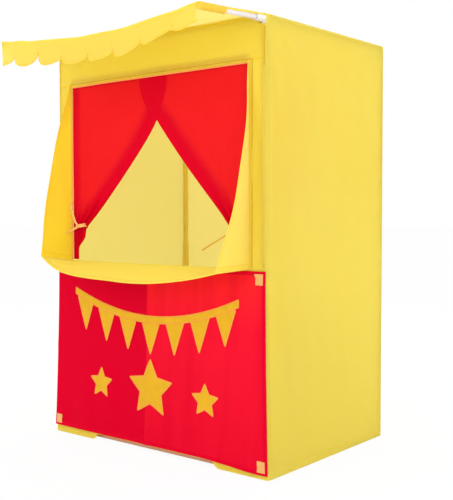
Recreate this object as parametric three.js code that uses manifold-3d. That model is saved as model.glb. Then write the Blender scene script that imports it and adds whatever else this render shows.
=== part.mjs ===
// Puppet theatre stand: a box frame of push-fit tubes inside a sewn cloth cover, with an awning, a
// stage window with a cloth ledge, a pair of tied curtains, two back flaps and a hanging front sign.
// Millimetres. +X is the viewer's right, +Y the back, +Z up; the origin is on the floor, in the middle.

import * as THREE from 'three';
import { mergeVertices } from 'three/addons/utils/BufferGeometryUtils.js';
import Module from 'manifold-3d';

const wasm = await Module();
wasm.setup();

// Overall sizes
const standWidth = 711.2;
const standDepth = 508;
const standHeight = 1041.4;
const awningReach = 203.2;

// Cloth and clearances
const clothThickness = 1.2;
const seamGap = 0.3;
const cutOverrun = 2;
const floorClearance = 2;

// Tubes and their moulded connectors
const tubeDiameter = 12.7;
const tubeWall = 1.2;
const socketWall = 2;
const socketReach = 34;
const hubSolid = 9;
const footRise = 0.8;
const awningArmTilt = THREE.MathUtils.degToRad(-1.5);
const awningArmToeIn = THREE.MathUtils.degToRad(4.3);
const tubeSides = 16;
const socketSides = 16;

// Stage window and ledge
const sideStripWidth = 50.6;
const headerHeight = 93.4;
const sillZ = 471;
const ledgeReach = 104;
const ledgeMiddleDrop = 43;
const ledgeBelly = 6;
const ledgeLeftPower = 5.5;
const ledgeRightPower = 1.8;
const stayHeight = 9;
const stayThickness = 2;
const stayTiltLeft = THREE.MathUtils.degToRad(8.7);
const stayTiltRight = THREE.MathUtils.degToRad(-3);
const gussetTopGap = 4;
const gussetTopWidth = 3;
const gussetBow = 24;
const gussetEdgePower = 1.07;

// Awning and its scalloped valance
const awningSag = 24;
const awningSagPower = 1.2;
const pocketLength = 75;
const scallopPitch = 89;
const scallopFirstX = -284;
const scallopSkewPower = 0.65;
const scallopNotchHeight = 40;
const scallopTipHeight = 62;
const valanceWave = 2;
const valanceRightInset = 14;

// Curtains and their ties
const curtainHem = 10;
const curtainOverlap = 48;
const crossingDrop = 116;
const tieLift = 93;
const bundleInset = 33;
const bundleHalfWidth = 17;
const bundleHalfDepth = 12;
const bundleSidePower = 4;
const tailInset = 8;
const tailHalfWidth = 7;
const tailLift = 5;
const curtainFolds = 6;
const tieWidth = 7;
const tieThickness = 1.6;
const tieRise = 57;
const tieDrop = 15;
const tieTailReach = 84;
const tieTailDrop = 44;

// Front panel, sign and its hook-and-loop patches
const hemRise = 18;
const cornerWrapLength = 145;
const signBottomZ = 12;
const signTopDrop = 3;
const signThickness = 1.2;
const patchWidth = 20;
const patchHeight = 25;
const patchThickness = 0.8;
const patchInset = 6;
const appliqueThickness = 1;

// Motifs sewn on the sign
const garlandMargin = 75.6;
const garlandRibbonHeight = 16;
const garlandSag = 58;
const garlandEndDrop = 68;
const pennantCount = 7;
const pennantWidth = 62;
const pennantHeight = 84;
const starGap = 18;
const starRadius = 74;
const sideStarRadius = 40;
const sideStarSpacing = 178;
const sideStarDrop = 6;
const starPointCount = 5;
const starInnerShare = 0.5;

// Back flaps
const flapMiddleGap = 1.5;

// Places worked out from the sizes above
const frontY = (awningReach - standDepth) / 2;
const backY = frontY + standDepth;
const awningFrontY = frontY - awningReach;
const halfWidth = standWidth / 2;
const windowWidth = standWidth - 2 * sideStripWidth;
const windowTopZ = standHeight - headerHeight;
const halfWindow = windowWidth / 2;
const tubeRadius = tubeDiameter / 2;
const boreRadius = tubeRadius + seamGap;
const socketRadius = boreRadius + socketWall;
const coverInset = clothThickness + seamGap;
const postX = halfWidth - coverInset - socketRadius;
const frontPostY = frontY + coverInset + socketRadius;
const backPostY = backY - coverInset - socketRadius;
const topRailZ = standHeight - coverInset - socketRadius;
const bottomRailZ = socketRadius + footRise;
const sillRailZ = sillZ - clothThickness - seamGap - socketRadius;
const wallInnerX = halfWidth - coverInset;
const roofUnderZ = standHeight - coverInset;

const finishes = {
  tube: { color: 0xf1efec, roughness: 0.35, metalness: 0 },
  connector: { color: 0xe9e7e4, roughness: 0.5, metalness: 0 },
  cover: { color: 0xf8da48, roughness: 0.85, metalness: 0 },
  curtain: { color: 0xf0202c, roughness: 0.75, metalness: 0 },
  sign: { color: 0xe8112d, roughness: 0.8, metalness: 0 },
  loop: { color: 0xe9b06c, roughness: 0.95, metalness: 0 },
  felt: { color: 0xe6b022, roughness: 0.95, metalness: 0 },
};

const stand = new THREE.Group();

function addPiece(name, geometry, finish) {
  const mesh = new THREE.Mesh(geometry, new THREE.MeshStandardMaterial(finishes[finish]));
  mesh.name = name;
  stand.add(mesh);
}

// Solids that are joined and cut

function toSolid(geometry) {
  const bare = geometry.clone();
  bare.deleteAttribute('normal');
  bare.deleteAttribute('uv');
  const merged = mergeVertices(bare);
  return new wasm.Manifold(new wasm.Mesh({
    numProp: 3,
    vertProperties: merged.attributes.position.array,
    triVerts: new Uint32Array(merged.index.array),
  }));
}

function toGeometry(solid) {
  const { vertProperties, triVerts } = solid.getMesh();
  const geometry = new THREE.BufferGeometry();
  geometry.setAttribute('position', new THREE.BufferAttribute(vertProperties, 3));
  geometry.setIndex(new THREE.BufferAttribute(triVerts, 1));
  geometry.computeVertexNormals();
  return geometry;
}

function rod(from, to, radius) {
  const along = to.clone().sub(from);
  const geometry = new THREE.CylinderGeometry(radius, radius, along.length(), socketSides);
  const middle = from.clone().add(to).divideScalar(2);
  const turn = new THREE.Quaternion().setFromUnitVectors(THREE.Object3D.DEFAULT_UP, along.normalize());
  geometry.applyQuaternion(turn);
  geometry.translate(middle.x, middle.y, middle.z);
  return toSolid(geometry);
}

function box(low, high) {
  const size = high.clone().sub(low);
  const middle = low.clone().add(high).divideScalar(2);
  const geometry = new THREE.BoxGeometry(size.x, size.y, size.z);
  geometry.translate(middle.x, middle.y, middle.z);
  return geometry;
}

function at(x, y, z) {
  return new THREE.Vector3(x, y, z);
}

function moved(point, direction, distance) {
  return point.clone().addScaledVector(direction, distance);
}

// Tubes and connectors of the frame

const toLeft = at(-1, 0, 0);
const toRight = at(1, 0, 0);
const toFront = at(0, -1, 0);
const toBack = at(0, 1, 0);
const toTop = at(0, 0, 1);
const toFloor = at(0, 0, -1);

// The awning's arms slope down a little and lean in towards each other.
function awningArmWay(side) {
  const lean = -side.sign * Math.tan(awningArmToeIn);
  return at(lean, -1, Math.tan(awningArmTilt)).normalize();
}

function awningArmX(y) {
  return postX - (frontPostY - y) * Math.tan(awningArmToeIn);
}

// A hollow tube whose open ends seat against the solid hubs of two sockets.
function tube(name, fromHub, way, length) {
  const start = hubSolid + seamGap;
  const ring = new THREE.Shape().absarc(0, 0, tubeRadius, 0, 2 * Math.PI);
  ring.holes.push(new THREE.Path().absarc(0, 0, tubeRadius - tubeWall, 0, 2 * Math.PI));
  const geometry = new THREE.ExtrudeGeometry(ring, {
    depth: length - start,
    bevelEnabled: false,
    curveSegments: tubeSides / 2,
  });
  geometry.applyQuaternion(new THREE.Quaternion().setFromUnitVectors(toTop, way));
  const foot = moved(fromHub, way, start);
  geometry.translate(foot.x, foot.y, foot.z);
  addPiece(name, geometry, 'tube');
}

function tubeBetween(name, fromHub, toHub) {
  const way = toHub.clone().sub(fromHub);
  const length = way.length() - hubSolid - seamGap;
  tube(name, fromHub, way.normalize(), length);
}

// A moulded connector: a socket along each way from its hub, with a blind bore in each.
function connectorSolid(hub, ways) {
  let body = null;
  for (const way of ways) {
    const arm = rod(moved(hub, way, -socketRadius), moved(hub, way, socketReach), socketRadius);
    body = body ? body.add(arm) : arm;
  }
  return body;
}

function bored(body, hub, ways) {
  let result = body;
  for (const way of ways) {
    const mouth = moved(hub, way, socketReach + cutOverrun);
    result = result.subtract(rod(moved(hub, way, hubSolid), mouth, boreRadius));
  }
  return result;
}

function addConnector(name, hub, ways, foot = null, armWay = null) {
  let body = connectorSolid(hub, ways);
  if (foot) body = body.add(foot);
  if (armWay) body = body.add(rod(hub, moved(hub, armWay, socketReach), socketRadius));
  const boredWays = armWay ? [...ways, armWay] : ways;
  addPiece(name, toGeometry(bored(body, hub, boredWays)), 'connector');
}

const sides = [
  { name: 'left', sign: -1, inward: toRight, stayTilt: stayTiltLeft },
  { name: 'right', sign: 1, inward: toLeft, stayTilt: stayTiltRight },
];

function addFrame() {
  const ends = [
    { name: 'front', y: frontPostY, inward: toBack },
    { name: 'back', y: backPostY, inward: toFront },
  ];
  for (const side of sides) {
    const x = side.sign * postX;
    for (const end of ends) {
      const bottomHub = at(x, end.y, bottomRailZ);
      const foot = rod(at(x, end.y, 0), bottomHub, socketRadius);
      const bottomWays = [toTop, side.inward, end.inward];
      addConnector(`corner_bottom_${end.name}_${side.name}`, bottomHub, bottomWays, foot);
      const topWays = [toFloor, side.inward, end.inward];
      const armWay = end.name === 'front' ? awningArmWay(side) : null;
      const topHub = at(x, end.y, topRailZ);
      addConnector(`corner_top_${end.name}_${side.name}`, topHub, topWays, null, armWay);
      const middleHub = at(x, end.y, sillRailZ);
      tubeBetween(`post_lower_${end.name}_${side.name}`, bottomHub, middleHub);
      tubeBetween(`post_upper_${end.name}_${side.name}`, middleHub, topHub);
    }
    addConnector(`coupler_back_${side.name}`, at(x, backPostY, sillRailZ), [toTop, toFloor]);
    const sillWays = [toTop, toFloor, side.inward];
    addConnector(`joint_sill_${side.name}`, at(x, frontPostY, sillRailZ), sillWays);
    for (const [level, z] of [['bottom', bottomRailZ], ['top', topRailZ]]) {
      tubeBetween(`rail_${level}_${side.name}`, at(x, frontPostY, z), at(x, backPostY, z));
    }
  }
  for (const end of ends) {
    for (const [level, z] of [['bottom', bottomRailZ], ['top', topRailZ]]) {
      tubeBetween(`rail_${level}_${end.name}`, at(-postX, end.y, z), at(postX, end.y, z));
    }
  }
  tubeBetween('rail_sill', at(-postX, frontPostY, sillRailZ), at(postX, frontPostY, sillRailZ));
}

// The awning's arms end just behind the closed fronts of the cloth sleeves that they stretch.
const canopyFrontY = awningFrontY + 2 * valanceWave + clothThickness + seamGap;
const sleeveRadius = boreRadius + clothThickness;
const leaningEndReach = sleeveRadius * Math.sin(awningArmToeIn);
const awningArmEndY = canopyFrontY + clothThickness + seamGap + leaningEndReach;

function addAwningArms() {
  for (const side of sides) {
    const hub = at(side.sign * postX, frontPostY, topRailZ);
    const way = awningArmWay(side);
    tube(`awning_arm_${side.name}`, hub, way, (awningArmEndY - hub.y) / way.y);
  }
}

// A closed sheet about a middle surface: place gives its point for each entry of the two lists.
function sheet(place, columns, rows, thickness) {
  const middle = columns.map((u) => rows.map((v) => place(u, v)));
  const front = [];
  const back = [];
  for (let i = 0; i < columns.length; i += 1) {
    for (let j = 0; j < rows.length; j += 1) {
      const across = middle[Math.min(i + 1, columns.length - 1)][j].clone();
      across.sub(middle[Math.max(i - 1, 0)][j]);
      const along = middle[i][Math.min(j + 1, rows.length - 1)].clone();
      along.sub(middle[i][Math.max(j - 1, 0)]);
      const normal = across.cross(along).normalize();
      front.push(moved(middle[i][j], normal, thickness / 2));
      back.push(moved(middle[i][j], normal, -thickness / 2));
    }
  }
  const index = (i, j) => i * rows.length + j;
  const corner = columns.length * rows.length;
  const triangles = [];
  const lastColumn = columns.length - 1;
  const lastRow = rows.length - 1;
  for (let i = 0; i < lastColumn; i += 1) {
    for (let j = 0; j < lastRow; j += 1) {
      const [a, b, c, d] = [index(i, j), index(i + 1, j), index(i + 1, j + 1), index(i, j + 1)];
      triangles.push(a, b, c, a, c, d);
      triangles.push(corner + a, corner + c, corner + b, corner + a, corner + d, corner + c);
    }
  }
  const rim = [];
  for (let i = 0; i < lastColumn; i += 1) rim.push(index(i, 0));
  for (let j = 0; j < lastRow; j += 1) rim.push(index(lastColumn, j));
  for (let i = lastColumn; i > 0; i -= 1) rim.push(index(i, lastRow));
  for (let j = lastRow; j > 0; j -= 1) rim.push(index(0, j));
  rim.forEach((a, k) => {
    const b = rim[(k + 1) % rim.length];
    triangles.push(b, a, corner + a, b, corner + a, corner + b);
  });
  const geometry = new THREE.BufferGeometry().setFromPoints([...front, ...back]);
  geometry.setIndex(triangles);
  geometry.computeVertexNormals();
  return geometry;
}

function shares(count) {
  return Array.from({ length: count + 1 }, (_, k) => k / count);
}

// A flat panel that stands in the plane of the front: its shape is drawn in X and Z.
function uprightPanel(shape, outerY, thickness, curveSegments) {
  const geometry = new THREE.ExtrudeGeometry(shape, { depth: thickness, bevelEnabled: false, curveSegments });
  geometry.rotateX(Math.PI / 2);
  geometry.translate(0, outerY + thickness, 0);
  return geometry;
}

function outline(points) {
  return new THREE.Shape(points.map(([x, z]) => new THREE.Vector2(x, z)));
}

const { lerp, smoothstep } = THREE.MathUtils;

// Flat panels of the cover: roof, side walls, header, window sides, front panel and back flaps

function addCoverPanels() {
  const roofLow = at(-halfWidth, frontY, standHeight - clothThickness);
  addPiece('roof_panel', box(roofLow, at(halfWidth, backY, standHeight)), 'cover');
  const notchX = awningArmX(frontY) - socketRadius - seamGap;
  const notchZ = topRailZ - socketRadius - seamGap - clothThickness;
  for (const side of sides) {
    const outer = side.sign * halfWidth;
    const inner = side.sign * (halfWidth - clothThickness);
    const low = at(Math.min(outer, inner), frontY, floorClearance);
    addPiece(`wall_${side.name}`, box(low, at(Math.max(outer, inner), backY, roofUnderZ)), 'cover');
    const strip = outline([
      [side.sign * halfWindow, sillZ + seamGap],
      [side.sign * wallInnerX, sillZ + seamGap],
      [side.sign * wallInnerX, windowTopZ - seamGap],
      [side.sign * halfWindow, windowTopZ - seamGap],
    ]);
    addPiece(`side_strip_${side.name}`, uprightPanel(strip, frontY, clothThickness), 'cover');
    const edge = side.sign * wallInnerX;
    const middle = side.sign * flapMiddleGap / 2;
    const flapLow = at(Math.min(edge, middle), backY - clothThickness, floorClearance);
    addPiece(`back_flap_${side.name}`, box(flapLow, at(Math.max(edge, middle), backY, roofUnderZ)), 'cover');
  }
  const header = outline([
    [-wallInnerX, windowTopZ],
    [wallInnerX, windowTopZ],
    [wallInnerX, notchZ],
    [notchX, notchZ],
    [notchX, roofUnderZ],
    [-notchX, roofUnderZ],
    [-notchX, notchZ],
    [-wallInnerX, notchZ],
  ]);
  addPiece('header_panel', uprightPanel(header, frontY, clothThickness), 'cover');
  addLowerFrontPanel();
}

// The front panel's hem wraps the corners of the frame and rises off the rail between them.
function addLowerFrontPanel() {
  const panel = new THREE.Shape();
  const wrapEnd = wallInnerX - cornerWrapLength;
  const curveEnd = wrapEnd - hemRise;
  panel.moveTo(wallInnerX, sillZ);
  panel.lineTo(-wallInnerX, sillZ);
  panel.lineTo(-wallInnerX, floorClearance);
  panel.lineTo(-wrapEnd, floorClearance);
  panel.quadraticCurveTo(-wrapEnd + hemRise / 2, hemRise, -curveEnd, hemRise);
  panel.lineTo(curveEnd, hemRise);
  panel.quadraticCurveTo(wrapEnd - hemRise / 2, hemRise, wrapEnd, floorClearance);
  panel.lineTo(wallInnerX, floorClearance);
  const hemSegments = 4;
  let body = toSolid(uprightPanel(panel, frontY, clothThickness, hemSegments));
  for (const [x, z] of patchPlaces()) {
    const low = at(x - patchWidth / 2, frontY - patchThickness, z - patchHeight / 2);
    const high = at(x + patchWidth / 2, frontY + clothThickness / 2, z + patchHeight / 2);
    body = body.add(toSolid(box(low, high)));
  }
  addPiece('lower_front_panel', toGeometry(body), 'cover');
}

// Awning: a sheet that sags between the arms, with a closed sleeve on the front of each arm

function awningArmZ(y) {
  return topRailZ + (frontPostY - y) * Math.tan(awningArmTilt);
}

const sheetOnSocket = socketRadius + seamGap + clothThickness / 2;
const sheetOnSleeve = sleeveRadius - clothThickness / 2;
const canopyHalfWidth = postX + sleeveRadius - clothThickness / 2;
const pocketStartY = awningArmEndY + pocketLength;

// The sheet's point that lies at x beside the stand's front, carried in by the arms to the place y.
function awningPoint(x, y) {
  const socketEndY = frontPostY - socketReach;
  const lowered = smoothstep(-y, -socketEndY, -pocketStartY);
  const outShare = Math.min(Math.abs(x) / postX, 1);
  const reachShare = (frontY - y) / awningReach;
  const sag = awningSag * (1 - outShare ** 2) * reachShare ** awningSagPower;
  const carriedX = x * awningArmX(y) / postX;
  return at(carriedX, y, awningArmZ(y) + lerp(sheetOnSocket, sheetOnSleeve, lowered) - sag);
}

function closedSleeve(start, armEnd, way) {
  return rod(start, moved(armEnd, way, seamGap + clothThickness), sleeveRadius);
}

function sleeveHollow(start, armEnd, way) {
  return rod(moved(start, way, -cutOverrun), moved(armEnd, way, seamGap), boreRadius);
}

function addCanopy() {
  const betweenArmsCount = 20;
  const alongCount = 8;
  const betweenArms = shares(betweenArmsCount).map((share) => lerp(-postX, postX, share));
  const columns = [-canopyHalfWidth, ...betweenArms, canopyHalfWidth];
  const rows = shares(alongCount).map((share) => lerp(frontY - seamGap, canopyFrontY, share));
  let canopy = toSolid(sheet(awningPoint, columns, rows, clothThickness));
  for (const side of sides) {
    const way = awningArmWay(side);
    const onArm = (y) => at(side.sign * awningArmX(y), y, awningArmZ(y));
    const start = onArm(pocketStartY);
    const armEnd = onArm(awningArmEndY);
    canopy = canopy.add(closedSleeve(start, armEnd, way));
    canopy = canopy.subtract(sleeveHollow(start, armEnd, way));
  }
  addPiece('awning_canopy', toGeometry(canopy), 'cover');
}

// The valance hangs from the sheet's front edge, from the left sleeve to beside the right one.
function addValance() {
  const stepsPerScallop = 8;
  const inwardShare = awningArmX(canopyFrontY) / postX;
  const leftEnd = -canopyHalfWidth * inwardShare;
  const rightEnd = -leftEnd - valanceRightInset;
  const step = scallopPitch / stepsPerScallop;
  const firstStep = Math.ceil((leftEnd - scallopFirstX) / step + 0.5);
  const lastStep = Math.floor((rightEnd - scallopFirstX) / step - 0.5);
  const columns = [leftEnd];
  for (let k = firstStep; k <= lastStep; k += 1) columns.push(scallopFirstX + k * step);
  columns.push(rightEnd);
  const seamY = canopyFrontY - seamGap - clothThickness / 2;
  const place = (x, v) => {
    const turn = (x - scallopFirstX) / scallopPitch;
    const along = (turn - Math.floor(turn)) ** scallopSkewPower;
    const round = Math.sqrt(Math.max(1 - (2 * along - 1) ** 2, 0));
    const height = lerp(scallopNotchHeight, scallopTipHeight, round);
    const top = awningPoint(x / inwardShare, canopyFrontY).z + clothThickness / 2;
    const wave = valanceWave * (1 - Math.cos(2 * Math.PI * turn));
    return at(x, seamY - wave * v, top - height * v);
  };
  const downCount = 3;
  addPiece('awning_valance', sheet(place, columns, shares(downCount), clothThickness), 'cover');
}

// Ledge: a tray of cloth that sags between two slack gussets, each with a stiff stay in its hem

const channelHeight = stayHeight + 2 * (seamGap + clothThickness);
const channelWidth = stayThickness + 2 * (seamGap + clothThickness);
const channelX = halfWindow + seamGap + channelWidth / 2;
const trayHalfWidth = halfWindow - clothThickness / 2;
const trayFrontY = frontY - ledgeReach;

function channelBottomZ(y, tilt) {
  return sillZ + seamGap + (frontY - y) * Math.tan(tilt);
}

// A bar that leans like a stay, from y at its back to y at its front.
function leaningBar(x, tilt, backEndY, frontEndY, width, height, lift) {
  const long = (backEndY - frontEndY) / Math.cos(tilt);
  const geometry = new THREE.BoxGeometry(width, long, height);
  geometry.translate(0, -long / 2, height / 2 + lift);
  geometry.rotateX(-tilt);
  geometry.translate(x, backEndY, channelBottomZ(backEndY, tilt));
  return geometry;
}

function trayPoint(x, y) {
  const reachShare = (frontY - y) / ledgeReach;
  const outShare = Math.min(Math.abs(x) / trayHalfWidth, 1);
  const power = x < 0 ? ledgeLeftPower : ledgeRightPower;
  const drop = ledgeMiddleDrop * (1 - outShare ** power) * reachShare;
  const belly = ledgeBelly * Math.sin(Math.PI * reachShare) * (1 - outShare ** 2);
  const rightShare = (x / trayHalfWidth + 1) / 2;
  const seamZ = lerp(channelBottomZ(y, stayTiltLeft), channelBottomZ(y, stayTiltRight), rightShare);
  return at(x, y, seamZ + clothThickness / 2 - drop - belly);
}

function addTray() {
  const halfAcrossCount = 9;
  const alongCount = 6;
  // Columns crowd towards the ends, where the sag turns up to the gussets.
  const halfColumns = shares(halfAcrossCount).map((share) => Math.sin(share * Math.PI / 2) * trayHalfWidth);
  const columns = [...halfColumns.slice(1).reverse().map((x) => -x), ...halfColumns];
  const place = (x, v) => trayPoint(x, lerp(frontY - seamGap, trayFrontY, v));
  addPiece('ledge_tray', sheet(place, columns, shares(alongCount), clothThickness), 'cover');
}

// A gusset runs from the window's side seam to a slack front edge that bows outwards.
function addGussets() {
  const upCount = 14;
  const outCount = 4;
  const topZ = windowTopZ - gussetTopGap;
  const seamY = frontY - seamGap;
  const stayFrontY = trayFrontY + clothThickness + seamGap;
  const behindSeam = toSolid(box(at(-halfWidth, seamY, 0), at(halfWidth, backY, standHeight)));
  for (const side of sides) {
    const x = side.sign * channelX;
    const tilt = side.stayTilt;
    const stayBackY = seamY - channelHeight * Math.abs(Math.sin(tilt));
    const place = (out, up) => {
      const frontReach = lerp(ledgeReach - seamGap, gussetTopWidth, up ** (1 / gussetEdgePower));
      const y = seamY - out * frontReach;
      const bow = gussetBow * Math.sin(Math.PI * up) * out;
      const bottomZ = channelBottomZ(y, tilt) + channelHeight / 2;
      return at(side.sign * (channelX + bow), y, lerp(bottomZ, topZ, up));
    };
    let gusset = toSolid(sheet(place, shares(outCount), shares(upCount), clothThickness));
    const channel = leaningBar(x, tilt, frontPostY, trayFrontY, channelWidth, channelHeight, 0);
    gusset = gusset.add(toSolid(channel));
    const hollowWidth = stayThickness + 2 * seamGap;
    const hollowHeight = stayHeight + 2 * seamGap;
    const hollowFrontY = stayFrontY - seamGap;
    const hollow = leaningBar(x, tilt, frontPostY, hollowFrontY, hollowWidth, hollowHeight, clothThickness);
    gusset = gusset.subtract(toSolid(hollow)).subtract(behindSeam);
    addPiece(`gusset_${side.name}`, toGeometry(gusset), 'cover');
    const stayLift = clothThickness + seamGap;
    const stay = leaningBar(x, tilt, stayBackY, stayFrontY, stayThickness, stayHeight, stayLift);
    addPiece(`ledge_stay_${side.name}`, stay, 'tube');
  }
}

// Curtains: flat under the header, crossing in the middle, and gathered into a bundle at the tie

const curtainTopZ = windowTopZ + curtainHem;
const curtainCrossingZ = windowTopZ - crossingDrop;
const curtainTailZ = sillZ + tailLift;
const tieZ = sillZ + tieLift;
const curtainTopY = frontY + coverInset + clothThickness / 2;
const bundleX = halfWindow - bundleInset;
const bundleY = frontY + coverInset + bundleHalfDepth + clothThickness / 2 + 2 * seamGap + tieThickness;
const tailX = halfWindow - tailInset;
const waistTopZ = tieZ + tieWidth;
const waistBottomZ = tieZ - tieWidth;

// How far the inner edge lies from the middle, towards the curtain's own side.
function curtainInnerX(z) {
  const waistX = bundleX - bundleHalfWidth;
  if (z < waistTopZ) {
    return lerp(tailX - tailHalfWidth, waistX, smoothstep(z, curtainTailZ, waistBottomZ));
  }
  if (z < curtainCrossingZ) {
    return waistX * (curtainCrossingZ - z) / (curtainCrossingZ - waistTopZ);
  }
  return -curtainOverlap * smoothstep(z, curtainCrossingZ, curtainTopZ);
}

function addCurtains() {
  const acrossCount = 24;
  const aboveCount = 8;
  const belowCount = 3;
  const rows = [
    ...shares(aboveCount).map((share) => lerp(curtainTopZ, waistTopZ, share)),
    ...shares(belowCount).map((share) => lerp(waistBottomZ, curtainTailZ, share)),
  ];
  for (const side of sides) {
    const layerY = side.sign > 0 ? 0 : clothThickness + seamGap;
    const place = (across, z) => {
      const gather = 1 - smoothstep(z, waistTopZ, curtainCrossingZ);
      const fall = 1 - smoothstep(z, curtainTailZ, waistBottomZ);
      const gatheredX = lerp(bundleX + bundleHalfWidth, tailX + tailHalfWidth, fall);
      const outerX = lerp(halfWindow - seamGap, gatheredX, gather ** bundleSidePower);
      const x = lerp(curtainInnerX(z), outerX, across);
      const round = Math.sqrt(1 - (2 * across - 1) ** 2);
      const depth = bundleHalfDepth * gather * lerp(1, round, gather) * (1 - fall / 2);
      const y = lerp(curtainTopY + layerY, bundleY, gather);
      return at(side.sign * x, y + depth * Math.cos(2 * Math.PI * curtainFolds * across), z);
    };
    addPiece(`curtain_${side.name}`, sheet(place, shares(acrossCount), rows, clothThickness), 'curtain');
  }
}

// Each tie is a ribbon round the bundle. The left one has both ends sewn to the window's side seam,
// the right one has one end there and a free tail.
function addTies() {
  const ringSides = 12;
  const seamY = frontY + clothThickness / 2;
  const ringX = bundleHalfWidth + clothThickness;
  const ringY = bundleHalfDepth + clothThickness;
  const seamX = halfWindow - seamGap - tieThickness / 2;
  const ends = {
    left: [at(-seamX, seamY, tieZ + tieRise), at(-seamX, seamY, tieZ - tieDrop)],
    right: [
      at(seamX, seamY, tieZ + tieDrop),
      at(bundleX - bundleHalfWidth - tieTailReach, bundleY, tieZ - tieTailDrop),
    ],
  };
  for (const side of sides) {
    const ring = (grow, height) => {
      const geometry = new THREE.CylinderGeometry(1, 1, height, ringSides);
      geometry.rotateX(Math.PI / 2);
      geometry.scale(ringX + grow, ringY + grow, 1);
      geometry.translate(side.sign * bundleX, bundleY, tieZ);
      return toSolid(geometry);
    };
    let tie = ring(tieThickness, tieWidth);
    for (const end of ends[side.name]) {
      const inward = Math.abs(end.x) < bundleX ? -1 : 1;
      const start = at(side.sign * (bundleX + inward * (ringX + tieThickness / 2)), bundleY, tieZ);
      const place = (u, v) => start.clone().lerp(end, u).add(at(0, 0, (v - 0.5) * tieWidth));
      tie = tie.add(toSolid(sheet(place, [0, 1], [0, 1], tieThickness)));
    }
    tie = tie.subtract(ring(0, tieWidth + 2 * tieRise));
    addPiece(`tieback_${side.name}`, toGeometry(tie), 'cover');
  }
}

// Sign: a red panel over the front, with a loop patch in each corner and sewn felt motifs

const signBackY = frontY - patchThickness - seamGap;
const signFrontY = signBackY - signThickness;
const signTopZ = sillZ - signTopDrop;

function patchPlaces() {
  const x = halfWidth - patchInset - patchWidth / 2;
  const top = signTopZ - patchInset - patchHeight / 2;
  const bottom = signBottomZ + patchInset + patchHeight / 2;
  return [[-x, top], [x, top], [-x, bottom], [x, bottom]];
}

function addSign() {
  const low = at(-halfWidth, signFrontY, signBottomZ);
  addPiece('sign_banner', box(low, at(halfWidth, signBackY, signTopZ)), 'sign');
  const names = ['top_left', 'top_right', 'bottom_left', 'bottom_right'];
  patchPlaces().forEach(([x, z], k) => {
    const frontFace = signFrontY - seamGap - patchThickness;
    const patchLow = at(x - patchWidth / 2, frontFace, z - patchHeight / 2);
    const patchHigh = at(x + patchWidth / 2, signFrontY - seamGap, z + patchHeight / 2);
    addPiece(`loop_patch_${names[k]}`, box(patchLow, patchHigh), 'loop');
  });
}

// A garland of pennants on a hanging ribbon, and three stars below it.
function addMotifs() {
  const faceY = signFrontY - seamGap - appliqueThickness;
  const ribbonSteps = 16;
  const halfSpan = halfWidth - garlandMargin;
  const garlandEndZ = signTopZ - garlandEndDrop;
  const ribbonZ = (x) => garlandEndZ - garlandSag * (1 - (x / halfSpan) ** 2);
  const upper = shares(ribbonSteps).map((share) => lerp(-halfSpan, halfSpan, share));
  const ribbonPoints = upper.map((x) => [x, ribbonZ(x)]);
  const lowerEdge = [...upper].reverse().map((x) => [x, ribbonZ(x) - garlandRibbonHeight]);
  let garland = toSolid(uprightPanel(outline([...ribbonPoints, ...lowerEdge]), faceY, appliqueThickness));
  for (let k = 0; k < pennantCount; k += 1) {
    const x = lerp(-halfSpan, halfSpan, (k + 0.5) / pennantCount);
    const top = ribbonZ(x) - garlandRibbonHeight / 2;
    const pennant = outline([
      [x - pennantWidth / 2, top],
      [x, top - pennantHeight],
      [x + pennantWidth / 2, top],
    ]);
    garland = garland.add(toSolid(uprightPanel(pennant, faceY, appliqueThickness)));
  }
  addPiece('applique_garland', toGeometry(garland), 'felt');
  const lowestTipZ = ribbonZ(0) - garlandRibbonHeight / 2 - pennantHeight;
  const starZ = lowestTipZ - starGap - starRadius;
  const stars = [
    { name: 'applique_star', x: 0, z: starZ, size: starRadius },
    { name: 'applique_star_left', x: -sideStarSpacing, z: starZ - sideStarDrop, size: sideStarRadius },
    { name: 'applique_star_right', x: sideStarSpacing, z: starZ - sideStarDrop, size: sideStarRadius },
  ];
  for (const star of stars) {
    const points = Array.from({ length: 2 * starPointCount }, (_, k) => {
      const radius = star.size * (k % 2 ? starInnerShare : 1);
      const angle = Math.PI / 2 + k * Math.PI / starPointCount;
      return [star.x + radius * Math.cos(angle), star.z + radius * Math.sin(angle)];
    });
    addPiece(star.name, uprightPanel(outline(points), faceY, appliqueThickness), 'felt');
  }
}

addFrame();
addAwningArms();
addCoverPanels();
addCanopy();
addValance();
addTray();
addGussets();
addCurtains();
addTies();
addSign();
addMotifs();

export default stand;
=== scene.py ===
"""Puppet theatre stand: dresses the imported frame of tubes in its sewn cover, awning, curtains and sign."""
import math
from random import Random

import bpy
import numpy as np
from bpy.props import FloatProperty, FloatVectorProperty, IntProperty, PointerProperty
from bpy.types import Operator, Panel, PropertyGroup
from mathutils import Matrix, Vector


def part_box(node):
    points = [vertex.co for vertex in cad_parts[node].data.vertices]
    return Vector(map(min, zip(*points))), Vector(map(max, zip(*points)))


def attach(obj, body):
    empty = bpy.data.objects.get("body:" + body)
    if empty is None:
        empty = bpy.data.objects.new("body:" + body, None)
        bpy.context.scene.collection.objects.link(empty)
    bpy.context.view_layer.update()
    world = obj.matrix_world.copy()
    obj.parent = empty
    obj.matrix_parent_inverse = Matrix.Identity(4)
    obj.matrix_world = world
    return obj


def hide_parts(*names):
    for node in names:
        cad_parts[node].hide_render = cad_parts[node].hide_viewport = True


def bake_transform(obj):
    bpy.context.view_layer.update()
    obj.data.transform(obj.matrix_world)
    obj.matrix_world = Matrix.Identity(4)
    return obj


bl_info = {
    "name": "Puppet Theatre Stand",
    "version": (1, 0, 0),
    "blender": (4, 5, 0),
    "location": "3D View > Sidebar > Theatre",
    "description": "Sews the cover, awning, curtains and sign of a puppet theatre round its frame",
    "category": "Object",
}

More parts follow.
